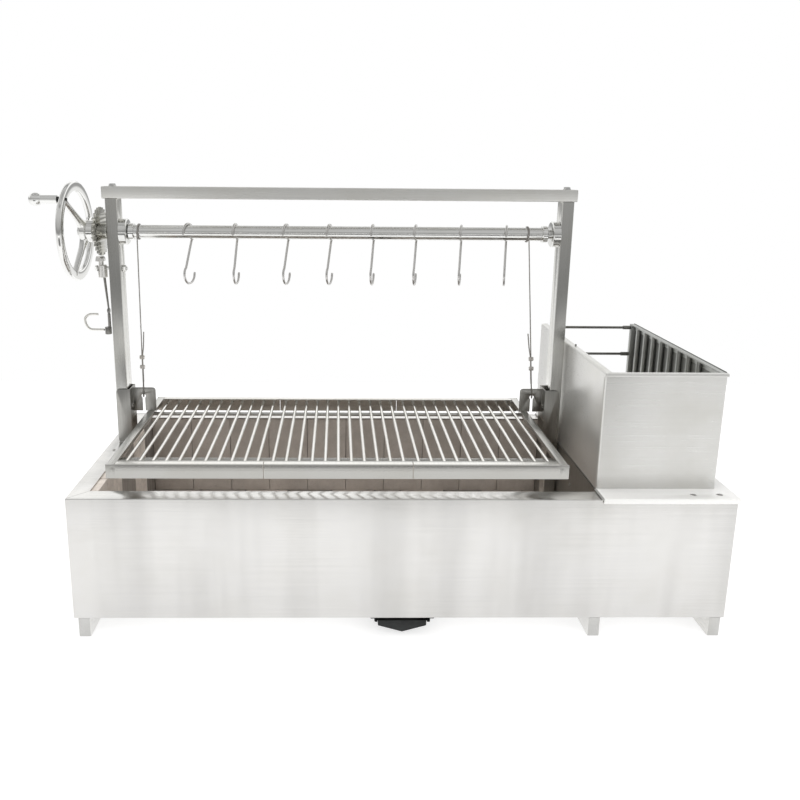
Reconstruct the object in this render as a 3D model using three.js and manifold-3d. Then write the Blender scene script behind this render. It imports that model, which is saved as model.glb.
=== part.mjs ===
// Wood-fire grill with a crank-lifted grate: a low brick-lined firebox on three runners, a gantry of
// two posts and a beam, a winch turned by a handwheel, and a fire basket on a deck plate at the right.
// Millimetres. +X right, +Y to the back, +Z up. Inside the functions X = 0 is the firebox's middle,
// Y = 0 its front face and Z = 0 the floor; the last lines move the origin under the whole object.
import * as THREE from 'three';
import { mergeVertices } from 'three/addons/utils/BufferGeometryUtils.js';
import Module from 'manifold-3d';

const wasm = await Module();
wasm.setup();

// ---------- driving dimensions ----------
const GAP = 0.3;                        // clearance between pieces that touch

const BODY = { halfX: 762, depth: 600, bottom: 48, top: 346, wall: 2, rim: 43 };
const RUNNER = { width: 28, wall: 2.5, centres: [-738, 455, 740] };
const ASH_SLOT = { x0: -36, x1: 42, y0: 70, y1: 470 };

const BRICK = { thick: 32, floorThick: 64, height: 228, course: 114, joint: 3, groove: 4 };
const PARTITION_X = 452;
// Inner faces of the brick lining; at the right the floor, front and rear reach the bare partition.
const HEARTH = { x0: -702, x1: PARTITION_X - GAP, y0: 36, y1: 558 };

const TRAY = {
  mid: 3, halfLip: 63, halfWall: 57, lipZ: 39, shoulderZ: 27, keelZ: 10, y0: 2, y1: 480, wall: 1.5,
};

const DECK = { x0: 452, x1: 766, y0: -4, y1: 604, bottom: 346.3, thick: 2.7, lipDrop: 9, lipWall: 2 };
const FINGER_HOLES = { x: [667, 728], y: 22, r: 7 };
const BRASERO = { x0: 452, x1: 730, y0: 53, y1: 594, top: 630, wall: 2, fold: 9, flange: 16 };
const BRASERO_PIN = { x: 464, y: 308, r: 2.5, height: 5 };
const BARS = { count: 8, r: 6, pitch: 53, fromRear: 49, sheet: 2, wallThick: 15 };
const REAR_ROD = { r: 4, collarR: 6.5, heights: { upper: 620, lower: 540 } };

const POST = { width: 30, depth: 45, wall: 2.5, y0: 350, top: 994.7, leftX: -739, rightX: 418 };
const POST_MID_Y = POST.y0 + POST.depth / 2;
const BEAM = { bottom: 995, top: 1025, overhang: 8, wall: 3 };

const WINCH_Z = 911;                    // height of the winch axis
const SHAFT_R = 12;
const PIPE = { x0: -687, x1: 388, r: 17.5 };
const CABLE_R = 1.6;
const DRUM_CABLE_X = { left: -662, right: 336.5 };          // where each cable leaves the pipe
const BEARING = { r: 33, length: 20 };
const RATCHET = { x: -760, tipR: 62, rootR: 55, thick: 8, teeth: 26, bossR: 20 };
const WHEEL = {
  rimX: -824, rimR: 114, radial: 13, axial: 8, hubR: 28, hubX0: -811, hubX1: -773.4,
  spokes: 3, spokeR: 7.5, spokeAt: 43, nutThick: 4, nutR: 16,
};
const GRIP = { neckX: -836, ballX: -889, ballR: 16.5, barrelR: 10, spindleR: 4 };

const PAWL = { pivotZ: 816, x: -760, tipZ: 847, boltR: 5, barrelX: -761, barrelR: 12 };

const CARRIAGE = { mid: -148.5, halfX: 516.5, y0: -3.5, y1: 496.5, top: 430, tall: 33, sheet: 3 };
const RAIL = { side: 20, front: 24, back: 20, backTall: 40 };
const ROD = { r: 4, z: 416, pitch: 30, perPanel: 11, panelGap: 34.5, crossR: 5, crossY: [82, 414] };
const SLEEVE = { web: 552.5, free: 589.5, thick: 3, y0: 345, y1: 400, bottom: 352, top: 497, chamfer: 8 };
const EAR = { inner: 491.5, hole: 524, holeZ: 471, holeR: 6, slotHalf: 3.6, top: 495, corner: 9 };

const CLIP_Z = [553, 580];
const HOOK = { wireR: 3, curlR: 25, gapFromPipe: 0.3, length: 160 };
// Where each hook hangs, and how many degrees its front is turned to the left.
const HOOKS = [
  [-537, 20], [-416, 8], [-285.5, 16], [-174, 16], [-62.5, 12], [48.5, 13], [166, 13], [283.5, 13],
];

// ---------- finishes ----------
const finish = (color, roughness, metalness) =>
  new THREE.MeshStandardMaterial({ color, roughness, metalness });
const BRUSHED = finish(0xc9c9c6, 0.35, 1);
const DARK_STEEL = finish(0x77776f, 0.45, 1);
const POLISHED = finish(0xdcdcdc, 0.12, 1);
const ROD_STEEL = finish(0xd4d3cd, 0.3, 1);
const BAR_STEEL = finish(0x8c8b84, 0.4, 1);
const BLACK = finish(0x1d1d1e, 0.6, 0.4);
const FIREBRICK = finish(0xb79b86, 0.95, 0);
const CABLE_STEEL = finish(0x8d8d8a, 0.5, 1);

// ---------- geometry helpers ----------
const block = (x0, x1, y0, y1, z0, z1) =>
  new THREE.BoxGeometry(x1 - x0, y1 - y0, z1 - z0).translate((x0 + x1) / 2, (y0 + y1) / 2, (z0 + z1) / 2);

// A solid of revolution about the X axis; the profile is [x, radius] pairs from axis to axis.
function turnedX(profile, y, z, segments = 24) {
  const points = profile.map(([x, radius]) => new THREE.Vector2(radius, x));
  return new THREE.LatheGeometry(points, segments).rotateZ(-Math.PI / 2).translate(0, y, z);
}

const cylinderX = (x0, x1, radius, y, z, segments = 24) =>
  turnedX([[x0, 0], [x0, radius], [x1, radius], [x1, 0]], y, z, segments);

const cylinderY = (y0, y1, radius, x, z, segments = 12) =>
  new THREE.CylinderGeometry(radius, radius, y1 - y0, segments).translate(x, (y0 + y1) / 2, z);

const cylinderZ = (z0, z1, radius, x, y, segments = 12) =>
  new THREE.CylinderGeometry(radius, radius, z1 - z0, segments)
    .rotateX(Math.PI / 2).translate(x, y, (z0 + z1) / 2);

// A hollow ring about the X axis.
const ringX = (x0, x1, inner, outer, y, z, segments = 24) =>
  turnedX([[x0, inner], [x0, outer], [x1, outer], [x1, inner], [x0, inner]], y, z, segments);

// A closed outline of [u, v] points (with optional hole outlines), extruded from 0 to length along +Z.
function prism(outline, length, holes = []) {
  const shape = new THREE.Shape(outline.map(([u, v]) => new THREE.Vector2(u, v)));
  shape.holes = holes.map((hole) => new THREE.Path(hole.map(([u, v]) => new THREE.Vector2(u, v))));
  return new THREE.ExtrudeGeometry(shape, { depth: length, bevelEnabled: false, curveSegments: 8 });
}

// Outline in X-Z, extruded from y0 back to y1.
const alongY = (outline, y0, y1, holes) =>
  prism(outline, y1 - y0, holes).rotateX(Math.PI / 2).translate(0, y1, 0);

// Outline in Y-Z, extruded from x0 to x1.
const alongX = (outline, x0, x1, holes) =>
  prism(outline, x1 - x0, holes).rotateZ(Math.PI / 2).rotateY(Math.PI / 2).translate(x0, 0, 0);

// A round rod along a curve.
function rodAlong(curve, radius, steps, sides = 8) {
  const section = new THREE.Shape();
  for (let i = 0; i < sides; i += 1) {
    const angle = (2 * Math.PI * i) / sides;
    const point = [radius * Math.cos(angle), radius * Math.sin(angle)];
    if (i === 0) section.moveTo(...point);
    else section.lineTo(...point);
  }
  section.closePath();
  return new THREE.ExtrudeGeometry(section, { steps, bevelEnabled: false, extrudePath: curve });
}

function toSolid(geometry) {
  const bare = geometry.clone();
  bare.deleteAttribute('normal');
  bare.deleteAttribute('uv');
  const merged = mergeVertices(bare, 1e-4);
  const triVerts = Uint32Array.from(merged.index.array);
  const vertProperties = Float32Array.from(merged.attributes.position.array);
  return new wasm.Manifold(new wasm.Mesh({ numProp: 3, vertProperties, triVerts }));
}

function toGeometry(solid) {
  const mesh = solid.getMesh();
  const geometry = new THREE.BufferGeometry();
  geometry.setAttribute('position', new THREE.BufferAttribute(mesh.vertProperties, 3));
  geometry.setIndex(new THREE.BufferAttribute(mesh.triVerts, 1));
  return geometry;
}

const join = (...pieces) => toGeometry(pieces.map(toSolid).reduce((sum, piece) => sum.add(piece)));

const cut = (base, ...tools) =>
  toGeometry(tools.map(toSolid).reduce((rest, tool) => rest.subtract(tool), toSolid(base)));

const assembly = new THREE.Group();
const model = new THREE.Group();
assembly.add(model);

function add(name, geometry, material) {
  const mesh = new THREE.Mesh(geometry, material);
  mesh.name = name;
  model.add(mesh);
  return mesh;
}

// The two sides and the sign of X on each.
const SIDES = [['left', -1], ['right', 1]];

// A block given by distances out from the middle plane, on the side named by sign.
function sideBlock(middle, sign, near, far, y0, y1, z0, z1) {
  const a = middle + sign * near;
  const b = middle + sign * far;
  return block(Math.min(a, b), Math.max(a, b), y0, y1, z0, z1);
}

// ---------- firebox ----------
function addFirebox() {
  const { halfX, depth, bottom, top, wall, rim } = BODY;
  const inX = halfX - rim;
  add('firebox_shell', cut(
    block(-halfX, halfX, 0, depth, bottom, top),
    block(-halfX + wall, halfX - wall, wall, depth - wall, bottom + wall, top - wall),
    block(-inX, inX, rim, depth - rim, top - 2 * wall, top + 1),
    block(POST.leftX - GAP, POST.leftX + POST.width + GAP, POST.y0 - GAP, POST.y0 + POST.depth + GAP,
      top - wall - 1, top + 1),
    block(ASH_SLOT.x0, ASH_SLOT.x1, ASH_SLOT.y0, ASH_SLOT.y1, bottom - 1, bottom + wall + 1),
  ), BRUSHED);

  const floorZ = bottom + wall + GAP;
  add('firebox_partition',
    block(PARTITION_X, PARTITION_X + wall, wall + GAP, depth - wall - GAP, floorZ, top - wall - GAP),
    DARK_STEEL);

  RUNNER.centres.forEach((centre, i) => {
    const name = ['runner_left', 'runner_middle', 'runner_right'][i];
    const half = RUNNER.width / 2;
    add(name, cut(
      block(centre - half, centre + half, 0, depth, 0, bottom - GAP),
      block(centre - half + RUNNER.wall, centre + half - RUNNER.wall, RUNNER.wall, depth - RUNNER.wall,
        RUNNER.wall, bottom + 1),
    ), BRUSHED);
  });
}

// ---------- firebrick lining ----------
// One wall of standing bricks, with grooves for the joints on its face towards the fire.
function brickWall(x0, x1, y0, y1, z0, z1, faceAxis, faceSide) {
  const alongIsX = faceAxis === 'y';
  const [start, end] = alongIsX ? [x0, x1] : [y0, y1];
  const count = Math.round((end - start) / BRICK.course);
  const grooves = [];
  for (let i = 1; i < count; i += 1) {
    const at = start + ((end - start) * i) / count;
    const a = at - BRICK.joint / 2;
    const b = at + BRICK.joint / 2;
    if (alongIsX) {
      const y = faceSide > 0 ? [y1 - BRICK.groove, y1 + 1] : [y0 - 1, y0 + BRICK.groove];
      grooves.push(block(a, b, y[0], y[1], z0 - 1, z1 + 1));
    } else {
      const x = faceSide > 0 ? [x1 - BRICK.groove, x1 + 1] : [x0 - 1, x0 + BRICK.groove];
      grooves.push(block(x[0], x[1], a, b, z0 - 1, z1 + 1));
    }
  }
  return cut(block(x0, x1, y0, y1, z0, z1), ...grooves);
}

function addLining() {
  const t = BRICK.thick;
  const floorZ = BODY.bottom + BODY.wall + GAP;
  const floorTop = floorZ + BRICK.floorThick;
  const wallZ = floorTop + GAP;
  const topZ = wallZ + BRICK.height;
  const { x0, x1, y0, y1 } = HEARTH;

  // The posts stand in notches in the bricks.
  const notch = (from, to) => block(from, to, POST.y0 - 1, POST.y0 + POST.depth + 1, floorZ - 1, topZ + 1);
  const leftNotch = notch(x0 - t - 1, POST.leftX + POST.width + 1);
  const rightNotch = notch(POST.rightX - 1, x1 + 1);

  add('brick_floor', cut(
    block(x0 - t, x1, y0 - t, y1 + t, floorZ, floorTop),
    block(ASH_SLOT.x0, ASH_SLOT.x1, ASH_SLOT.y0, ASH_SLOT.y1, floorZ - 1, floorTop + 1),
    leftNotch, rightNotch,
  ), FIREBRICK);
  add('brick_lining_left', cut(
    brickWall(x0 - t, x0, y0 - t, y1 + t, wallZ, topZ, 'x', 1), leftNotch,
  ), FIREBRICK);
  add('brick_lining_front', brickWall(x0 + GAP, x1, y0 - t, y0, wallZ, topZ, 'y', 1), FIREBRICK);
  add('brick_lining_rear', brickWall(x0 + GAP, x1, y1, y1 + t, wallZ, topZ, 'y', -1), FIREBRICK);
}

// ---------- ash tray and its two rails ----------
function addAshTray() {
  const { mid, halfLip, halfWall, lipZ, shoulderZ, keelZ, y0, y1, wall } = TRAY;
  const section = (half, top, shoulder, keel) => [
    [mid - half, top], [mid - half, shoulder], [mid, keel], [mid + half, shoulder], [mid + half, top],
  ];
  const trough = cut(
    alongY(section(halfWall, lipZ + wall, shoulderZ, keelZ), y0, y1),
    alongY(section(halfWall - wall, lipZ + wall + 1, shoulderZ + 0.4, keelZ + wall), y0 + wall, y1 - wall),
  );
  const lips = SIDES.map(([, sign]) =>
    sideBlock(mid, sign, halfWall - wall / 2, halfLip, y0, y1, lipZ, lipZ + wall));
  add('ash_tray', join(trough, ...lips), BLACK);

  const shelfZ = lipZ - GAP;
  const outer = halfLip + 2.3;
  for (const [side, sign] of SIDES) {
    const railTop = BODY.bottom - GAP;
    add(`tray_rail_${side}`, join(
      sideBlock(mid, sign, outer - 2, outer + 9, 0, y1 + 14, railTop - 2, railTop),
      sideBlock(mid, sign, outer - 2, outer, 0, y1 + 14, shelfZ - 2, railTop),
      sideBlock(mid, sign, halfWall + 1.3, outer, 0, y1 + 14, shelfZ - 2, shelfZ),
    ), BLACK);
  }
}

// ---------- deck plate and fire basket ----------
function addDeck() {
  const { x0, x1, y0, y1, bottom, thick, lipDrop, lipWall } = DECK;
  const top = bottom + thick;
  const holes = FINGER_HOLES.x.map((x) => cylinderZ(bottom - 1, top + 1, FINGER_HOLES.r, x, FINGER_HOLES.y));
  add('deck_plate', cut(
    block(x0, x1, y0, y1, bottom - lipDrop, top),
    block(x0 - 1, x1 - lipWall, y0 + lipWall, y1 - lipWall, bottom - lipDrop - 1, bottom),
    ...holes,
  ), BRUSHED);
}

function addBrasero() {
  const { x0, x1, y0, y1, top, wall, fold, flange } = BRASERO;
  const pin = BRASERO_PIN;
  const bottom = DECK.bottom + DECK.thick + GAP;
  // Front, left wall and floor folded from one sheet.
  // The front's top edge is folded forward and the left wall's inward.
  add('brasero_shell', join(
    block(x0, x1, y0, y0 + wall, bottom, top),
    block(x0, x1, y0 - fold, y0 + wall, top - wall, top),
    block(x0, x0 + wall, y0, y1, bottom, top),
    block(x0, x1 - BARS.wallThick - 2, y0, y1 - 14, bottom, bottom + wall),
    block(x0, x0 + flange, y0, y1, top - wall, top),
    cylinderZ(top - 1, top + pin.height, pin.r, pin.x, pin.y),
  ), DARK_STEEL);

  // The bar wall: sheet, top and foot rails, front and rear uprights, and round bars inside the sheet.
  const wallX0 = x1 - BARS.wallThick;
  const barX = x1 - BARS.sheet - BARS.r + 0.5;
  const start = y0 + wall + GAP;
  const bars = Array.from({ length: BARS.count }, (_, i) =>
    cylinderZ(bottom + 4, top - 2, BARS.r, barX, y1 - BARS.fromRear - BARS.pitch * i, 10));
  add('brasero_bar_wall', join(
    block(wallX0, x1, start, y1, top - 3, top),
    block(x1 - BARS.sheet, x1, start, y1, bottom, top),
    block(wallX0, x1, start, y1, bottom, bottom + 6),
    block(wallX0, x1, y1 - 12, y1, bottom, top),
    block(wallX0, x1, start, start + 5, bottom, top),
    ...bars,
  ), BAR_STEEL);

  const rodY = y1 - 6;
  for (const [level, z] of Object.entries(REAR_ROD.heights)) {
    const rod = cylinderX(x0 + wall + GAP, wallX0 - GAP, REAR_ROD.r, rodY, z, 10);
    const collar = cylinderX(wallX0 - 28, wallX0 - 2, REAR_ROD.collarR, rodY, z, 10);
    add(`brasero_rear_rod_${level}`, join(rod, collar), BAR_STEEL);
  }
}

// ---------- gantry ----------
function addGantry() {
  const { width, depth, wall, y0, top, leftX, rightX } = POST;
  const floorZ = BODY.bottom + BODY.wall + GAP;
  const tube = (x) => cut(
    block(x, x + width, y0, y0 + depth, floorZ, top),
    block(x + wall, x + width - wall, y0 + wall, y0 + depth - wall, floorZ - 1, top + 1),
  );
  const shaftHole = (x0, x1) => cylinderX(x0, x1, SHAFT_R + 0.6, POST_MID_Y, WINCH_Z);
  add('post_left', cut(tube(leftX), shaftHole(leftX - 1, leftX + width + 1),
    cylinderX(leftX - 1, leftX + width + 1, PAWL.boltR + GAP, POST_MID_Y, PAWL.pivotZ, 12)), DARK_STEEL);
  add('post_right', cut(tube(rightX), shaftHole(rightX - 1, rightX + wall + 1)), DARK_STEEL);

  const beamX0 = leftX - BEAM.overhang;
  const beamX1 = rightX + width + BEAM.overhang;
  const boltX = [leftX + width / 2, rightX + width / 2];
  add('beam', cut(
    block(beamX0, beamX1, y0, y0 + depth, BEAM.bottom, BEAM.top),
    block(beamX0 + BEAM.wall, beamX1 - BEAM.wall, y0 + BEAM.wall, y0 + depth - BEAM.wall,
      BEAM.bottom + BEAM.wall, BEAM.top - BEAM.wall),
    ...boltX.map((x) => cylinderZ(BEAM.bottom - 1, BEAM.top + 1, 5 + GAP, x, POST_MID_Y)),
  ), BRUSHED);
  boltX.forEach((x, i) => {
    add(['beam_bolt_left', 'beam_bolt_right'][i], join(
      cylinderZ(BEAM.top + GAP, BEAM.top + 7, 10, x, POST_MID_Y, 6),
      cylinderZ(BEAM.bottom - 12, BEAM.top + 1, 5, x, POST_MID_Y, 12),
    ), POLISHED);
  });

  const bearingProfile = (x0, x1) => [
    [x0, SHAFT_R + GAP], [x0, BEARING.r], [x1 - 2, BEARING.r], [x1, BEARING.r - 2], [x1, SHAFT_R + GAP],
    [x0, SHAFT_R + GAP],
  ];
  const leftFace = leftX + width + GAP;
  const leftBearing = bearingProfile(leftFace, leftFace + BEARING.length);
  add('bearing_left', turnedX(leftBearing, POST_MID_Y, WINCH_Z), BRUSHED);
  const rightFace = -rightX + GAP;
  const rightBearing = bearingProfile(rightFace, rightFace + BEARING.length).map(([x, r]) => [-x, r]);
  add('bearing_right', turnedX(rightBearing.reverse(), POST_MID_Y, WINCH_Z), BRUSHED);
}

// ---------- winch ----------
function addWinch() {
  const y = POST_MID_Y;
  const z = WINCH_Z;
  const endX = WHEEL.hubX0 - WHEEL.nutThick - 1;
  add('winch_shaft', cylinderX(endX - 1, POST.rightX + POST.width - 8, SHAFT_R, y, z), POLISHED);
  add('drum_pipe', ringX(PIPE.x0, PIPE.x1, SHAFT_R + GAP, PIPE.r, y, z), POLISHED);
  const boreR = PIPE.r + GAP;
  add('collar_left', ringX(PIPE.x0, PIPE.x0 + 14, boreR, boreR + 4, y, z), POLISHED);
  add('collar_right', ringX(PIPE.x1 - 14, PIPE.x1, boreR, boreR + 4, y, z), POLISHED);
  for (const [side] of SIDES) {
    const middle = DRUM_CABLE_X[side];
    const wrap = ringX(middle - 2 * CABLE_R, middle + 2 * CABLE_R, boreR, boreR + 2 * CABLE_R, y, z);
    add(`cable_wrap_${side}`, wrap, CABLE_STEEL);
  }

  // Ratchet wheel: saw teeth on a disc, with a boss on each side.
  const outline = [];
  for (let i = 0; i < RATCHET.teeth; i += 1) {
    const at = (2 * Math.PI * i) / RATCHET.teeth;
    const tip = at + (0.5 * Math.PI) / RATCHET.teeth;
    const back = at + (0.9 * Math.PI) / RATCHET.teeth;
    outline.push([RATCHET.rootR * Math.cos(at), RATCHET.rootR * Math.sin(at)]);
    outline.push([RATCHET.tipR * Math.cos(tip), RATCHET.tipR * Math.sin(tip)]);
    outline.push([RATCHET.tipR * Math.cos(back), RATCHET.tipR * Math.sin(back)]);
  }
  const half = RATCHET.thick / 2;
  const disc = alongX(outline, RATCHET.x - half, RATCHET.x + half).translate(0, y, z);
  add('ratchet_wheel', cut(
    join(disc, cylinderX(WHEEL.hubX1 + GAP, POST.leftX - 1, RATCHET.bossR, y, z)),
    cylinderX(WHEEL.hubX1 - 20, POST.leftX + 20, SHAFT_R + GAP, y, z),
  ), DARK_STEEL);

  // Handwheel: oval-section rim, hub, and three tapered spokes that lean out to the rim.
  const rimSteps = 10;
  const rimProfile = Array.from({ length: rimSteps + 1 }, (_, i) => {
    const angle = (2 * Math.PI * i) / rimSteps;
    return [WHEEL.rimX + WHEEL.axial * Math.sin(angle), WHEEL.rimR + WHEEL.radial * Math.cos(angle)];
  });
  const rim = turnedX(rimProfile, 0, 0, 44);
  const hub = cylinderX(WHEEL.hubX0, WHEEL.hubX1, WHEEL.hubR, 0, 0);
  const spokes = Array.from({ length: WHEEL.spokes }, (_, i) => {
    const from = new THREE.Vector3(WHEEL.hubX0 + 9, 0, WHEEL.hubR - 8);
    const to = new THREE.Vector3(WHEEL.rimX - 1, 0, WHEEL.rimR);
    const rod = rodAlong(new THREE.LineCurve3(from, to), WHEEL.spokeR, 1, 8);
    return rod.rotateX(THREE.MathUtils.degToRad(WHEEL.spokeAt + (360 / WHEEL.spokes) * i));
  });
  const spindleAt = THREE.MathUtils.degToRad(WHEEL.spokeAt);
  const spindleHole = cylinderX(WHEEL.rimX - 20, WHEEL.rimX + 20, GRIP.spindleR + GAP, 0, WHEEL.rimR, 10)
    .rotateX(spindleAt);
  const bore = cylinderX(WHEEL.hubX0 - 1, WHEEL.hubX1 + 1, SHAFT_R + GAP, 0, 0);
  add('handwheel', cut(join(rim, hub, ...spokes), spindleHole, bore).translate(0, y, z), POLISHED);
  add('wheel_nut', cut(
    cylinderX(endX + 1, WHEEL.hubX0 - GAP, WHEEL.nutR, y, z, 12),
    cylinderX(endX - 1, WHEEL.hubX0 + 1, SHAFT_R + GAP, y, z),
  ), POLISHED);

  // Revolving grip at the end of the first spoke.
  const gripY = y - WHEEL.rimR * Math.sin(spindleAt);
  const gripZ = z + WHEEL.rimR * Math.cos(spindleAt);
  const rimFace = WHEEL.rimX - WHEEL.axial;
  add('handle_spindle', turnedX([
    [GRIP.ballX, 0], [GRIP.ballX, GRIP.spindleR], [GRIP.neckX + GAP, GRIP.spindleR], [GRIP.neckX + GAP, 7],
    [rimFace - GAP, 7], [rimFace - GAP, GRIP.spindleR], [WHEEL.rimX + WHEEL.axial + 3, GRIP.spindleR],
    [WHEEL.rimX + WHEEL.axial + 3, 0],
  ], gripY, gripZ, 10), BLACK);
  const hole = GRIP.spindleR + GAP;
  const ball = Array.from({ length: 7 }, (_, i) => {
    const angle = Math.PI * (0.21 + 0.79 * (i / 6));
    return [GRIP.ballX + GRIP.ballR * Math.cos(angle), GRIP.ballR * Math.sin(angle)];
  });
  ball[ball.length - 1][1] = 0;
  add('handle_grip', turnedX([
    [GRIP.ballX - 1, 0], [GRIP.ballX - 1, hole], [GRIP.neckX, hole], [GRIP.neckX, GRIP.barrelR], ...ball,
  ].reverse(), gripY, gripZ, 16), POLISHED);
}

// ---------- pawl and its release handle, hanging on a bolt through the left post ----------
function addPawl() {
  const y = POST_MID_Y;
  const { pivotZ, x, tipZ, boltR, barrelX, barrelR } = PAWL;
  const post = POST.leftX;
  const headX = barrelX - barrelR - GAP;
  add('pawl_bolt', join(
    cylinderX(headX - 6, headX, 8, y, pivotZ, 6),
    cylinderX(headX - 2, post + POST.width + 12, boltR, y, pivotZ, 12),
  ), POLISHED);
  add('pawl_nut', cut(
    cylinderX(post + POST.width + GAP, post + POST.width + 9, 9, y, pivotZ, 6),
    cylinderX(post, post + POST.width + 20, boltR + GAP, y, pivotZ, 12),
  ), POLISHED);
  // A square nose under the teeth, a neck, and the round barrel that turns on the bolt.
  const nose = alongX([
    [-11, 18], [-7, 27], [-2, tipZ - pivotZ], [2, tipZ - pivotZ], [11, 26], [11, 18],
  ], x - 16, x + 5).translate(0, y, pivotZ);
  add('pawl', cut(
    join(
      nose,
      cylinderZ(pivotZ + 6, pivotZ + 20, 6.5, x - 4, y, 12),
      cylinderZ(pivotZ - 24, pivotZ + 9, barrelR, barrelX, y, 16),
    ),
    cylinderX(x - 30, x + 30, boltR + GAP, y, pivotZ, 12),
  ), BRUSHED);

  const rodTop = pivotZ - 24 - GAP;
  const eyeZ = 704;
  const low = x + 8;
  const lean = new THREE.LineCurve3(new THREE.Vector3(x + 2, y, rodTop), new THREE.Vector3(low, y, eyeZ + 5));
  add('pawl_rod', join(
    rodAlong(lean, 3.2, 1),
    cylinderX(low - 3, low + 3, 7, y, eyeZ, 12),
  ), DARK_STEEL);
  add('release_block', join(
    cylinderZ(660, eyeZ - 7 - GAP, 4, low, y, 8),
    cylinderZ(641, 661, 8.5, low - 4, y, 12),
  ), DARK_STEEL);
  const bend = new THREE.CatmullRomCurve3([
    [low - 13, 653], [low - 32, 653], [low - 49, 654], [low - 58, 661], [low - 63, 673], [low - 62, 685],
    [low - 53, 693], [low - 40, 694.5], [low - 27, 694],
  ].map(([px, pz]) => new THREE.Vector3(px, y, pz)), false, 'centripetal');
  add('release_handle', rodAlong(bend, 3.4, 16), ROD_STEEL);
}

// ---------- carriage: side rails, cross rods, sleeves on the posts, and the grate panels ----------
function addCarriage() {
  const { mid, halfX, y0, y1, top, tall, sheet } = CARRIAGE;
  const railY0 = y0 + sheet + GAP;
  const railY1 = y1 - sheet - GAP;
  const rails = SIDES.flatMap(([, sign]) => [
    sideBlock(mid, sign, halfX - sheet, halfX, railY0, railY1, top - tall, top),
    sideBlock(mid, sign, halfX - RAIL.side, halfX, railY0, railY1, top - sheet, top),
  ]);
  const crossZ = ROD.z - ROD.r - GAP - ROD.crossR;
  const crossRods = ROD.crossY.map((y) =>
    cylinderX(mid - halfX + 1, mid + halfX - 1, ROD.crossR, y, crossZ, 8));
  add('carriage_frame', join(...rails, ...crossRods), BRUSHED);

  // Each panel: a front and a rear angle with eleven rods between them.
  const span = (ROD.perPanel - 1) * ROD.pitch;
  const names = ['grate_panel_left', 'grate_panel_middle', 'grate_panel_right'];
  names.forEach((name, i) => {
    const firstRod = mid - 1.5 * span - ROD.panelGap + i * (span + ROD.panelGap);
    const x0 = i === 0 ? mid - halfX : firstRod - ROD.panelGap / 2 + GAP;
    const x1 = i === 2 ? mid + halfX : firstRod + span + ROD.panelGap / 2 - GAP;
    const insideX0 = i === 0 ? mid - halfX + RAIL.side + GAP : x0;
    const insideX1 = i === 2 ? mid + halfX - RAIL.side - GAP : x1;
    const rods = Array.from({ length: ROD.perPanel }, (_, k) =>
      cylinderY(y0 + 1, y1 - 1, ROD.r, firstRod + k * ROD.pitch, ROD.z, 8));
    add(name, join(
      block(x0, x1, y0, y0 + sheet, top - tall, top),
      block(insideX0, insideX1, y0, y0 + RAIL.front, top - sheet, top),
      block(x0, x1, y1 - sheet, y1, top - RAIL.backTall, top),
      block(insideX0, insideX1, y1 - RAIL.back, y1, top - sheet, top),
      ...rods,
    ), ROD_STEEL);
  });

  for (const [side, sign] of SIDES) addSleeve(side, sign);
}

// A C-shaped sleeve open to the outside, with an ear for the cable welded to its web.
function addSleeve(side, sign) {
  const { web, free, thick, y0, y1, bottom, top, chamfer } = SLEEVE;
  const { mid } = CARRIAGE;
  const out = (distance) => mid + sign * distance;
  const flange = [
    [out(web), bottom], [out(free - chamfer), bottom], [out(free), bottom + chamfer],
    [out(free), top - chamfer], [out(free - chamfer), top], [out(web), top],
  ];
  const earBottom = CARRIAGE.top + GAP;
  const { inner, hole, holeZ, holeR, slotHalf, corner } = EAR;
  const earTop = EAR.top;
  const ear = [
    [out(web + 1), earBottom], [out(web + 1), earTop], [out(inner + corner), earTop],
    [out(inner + corner * 0.3), earTop - corner * 0.3], [out(inner), earTop - corner],
    [out(inner), earBottom],
  ];
  const earY = POST_MID_Y - thick / 2;
  const keyhole = [
    cylinderY(earY - 2, earY + thick + 2, holeR, out(hole), holeZ, 12),
    sideBlock(out(hole), 1, -slotHalf, slotHalf, earY - 2, earY + thick + 2, earBottom - 1, holeZ),
  ];
  const boltHead = cylinderX(0, 5, 6, POST_MID_Y - 14, 450, 6);
  const boltX = sign > 0 ? out(web) - 4.5 : out(web) - 0.5;
  add(`carriage_sleeve_${side}`, cut(
    join(
      alongY(flange, y0, y0 + thick),
      alongY(flange, y1 - thick, y1),
      sideBlock(mid, sign, web, web + thick, y0, y1, bottom + 60, top),
      alongY(ear, earY, earY + thick),
      boltHead.translate(boltX, 0, 0),
    ),
    ...keyhole,
  ), DARK_STEEL);
}

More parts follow.
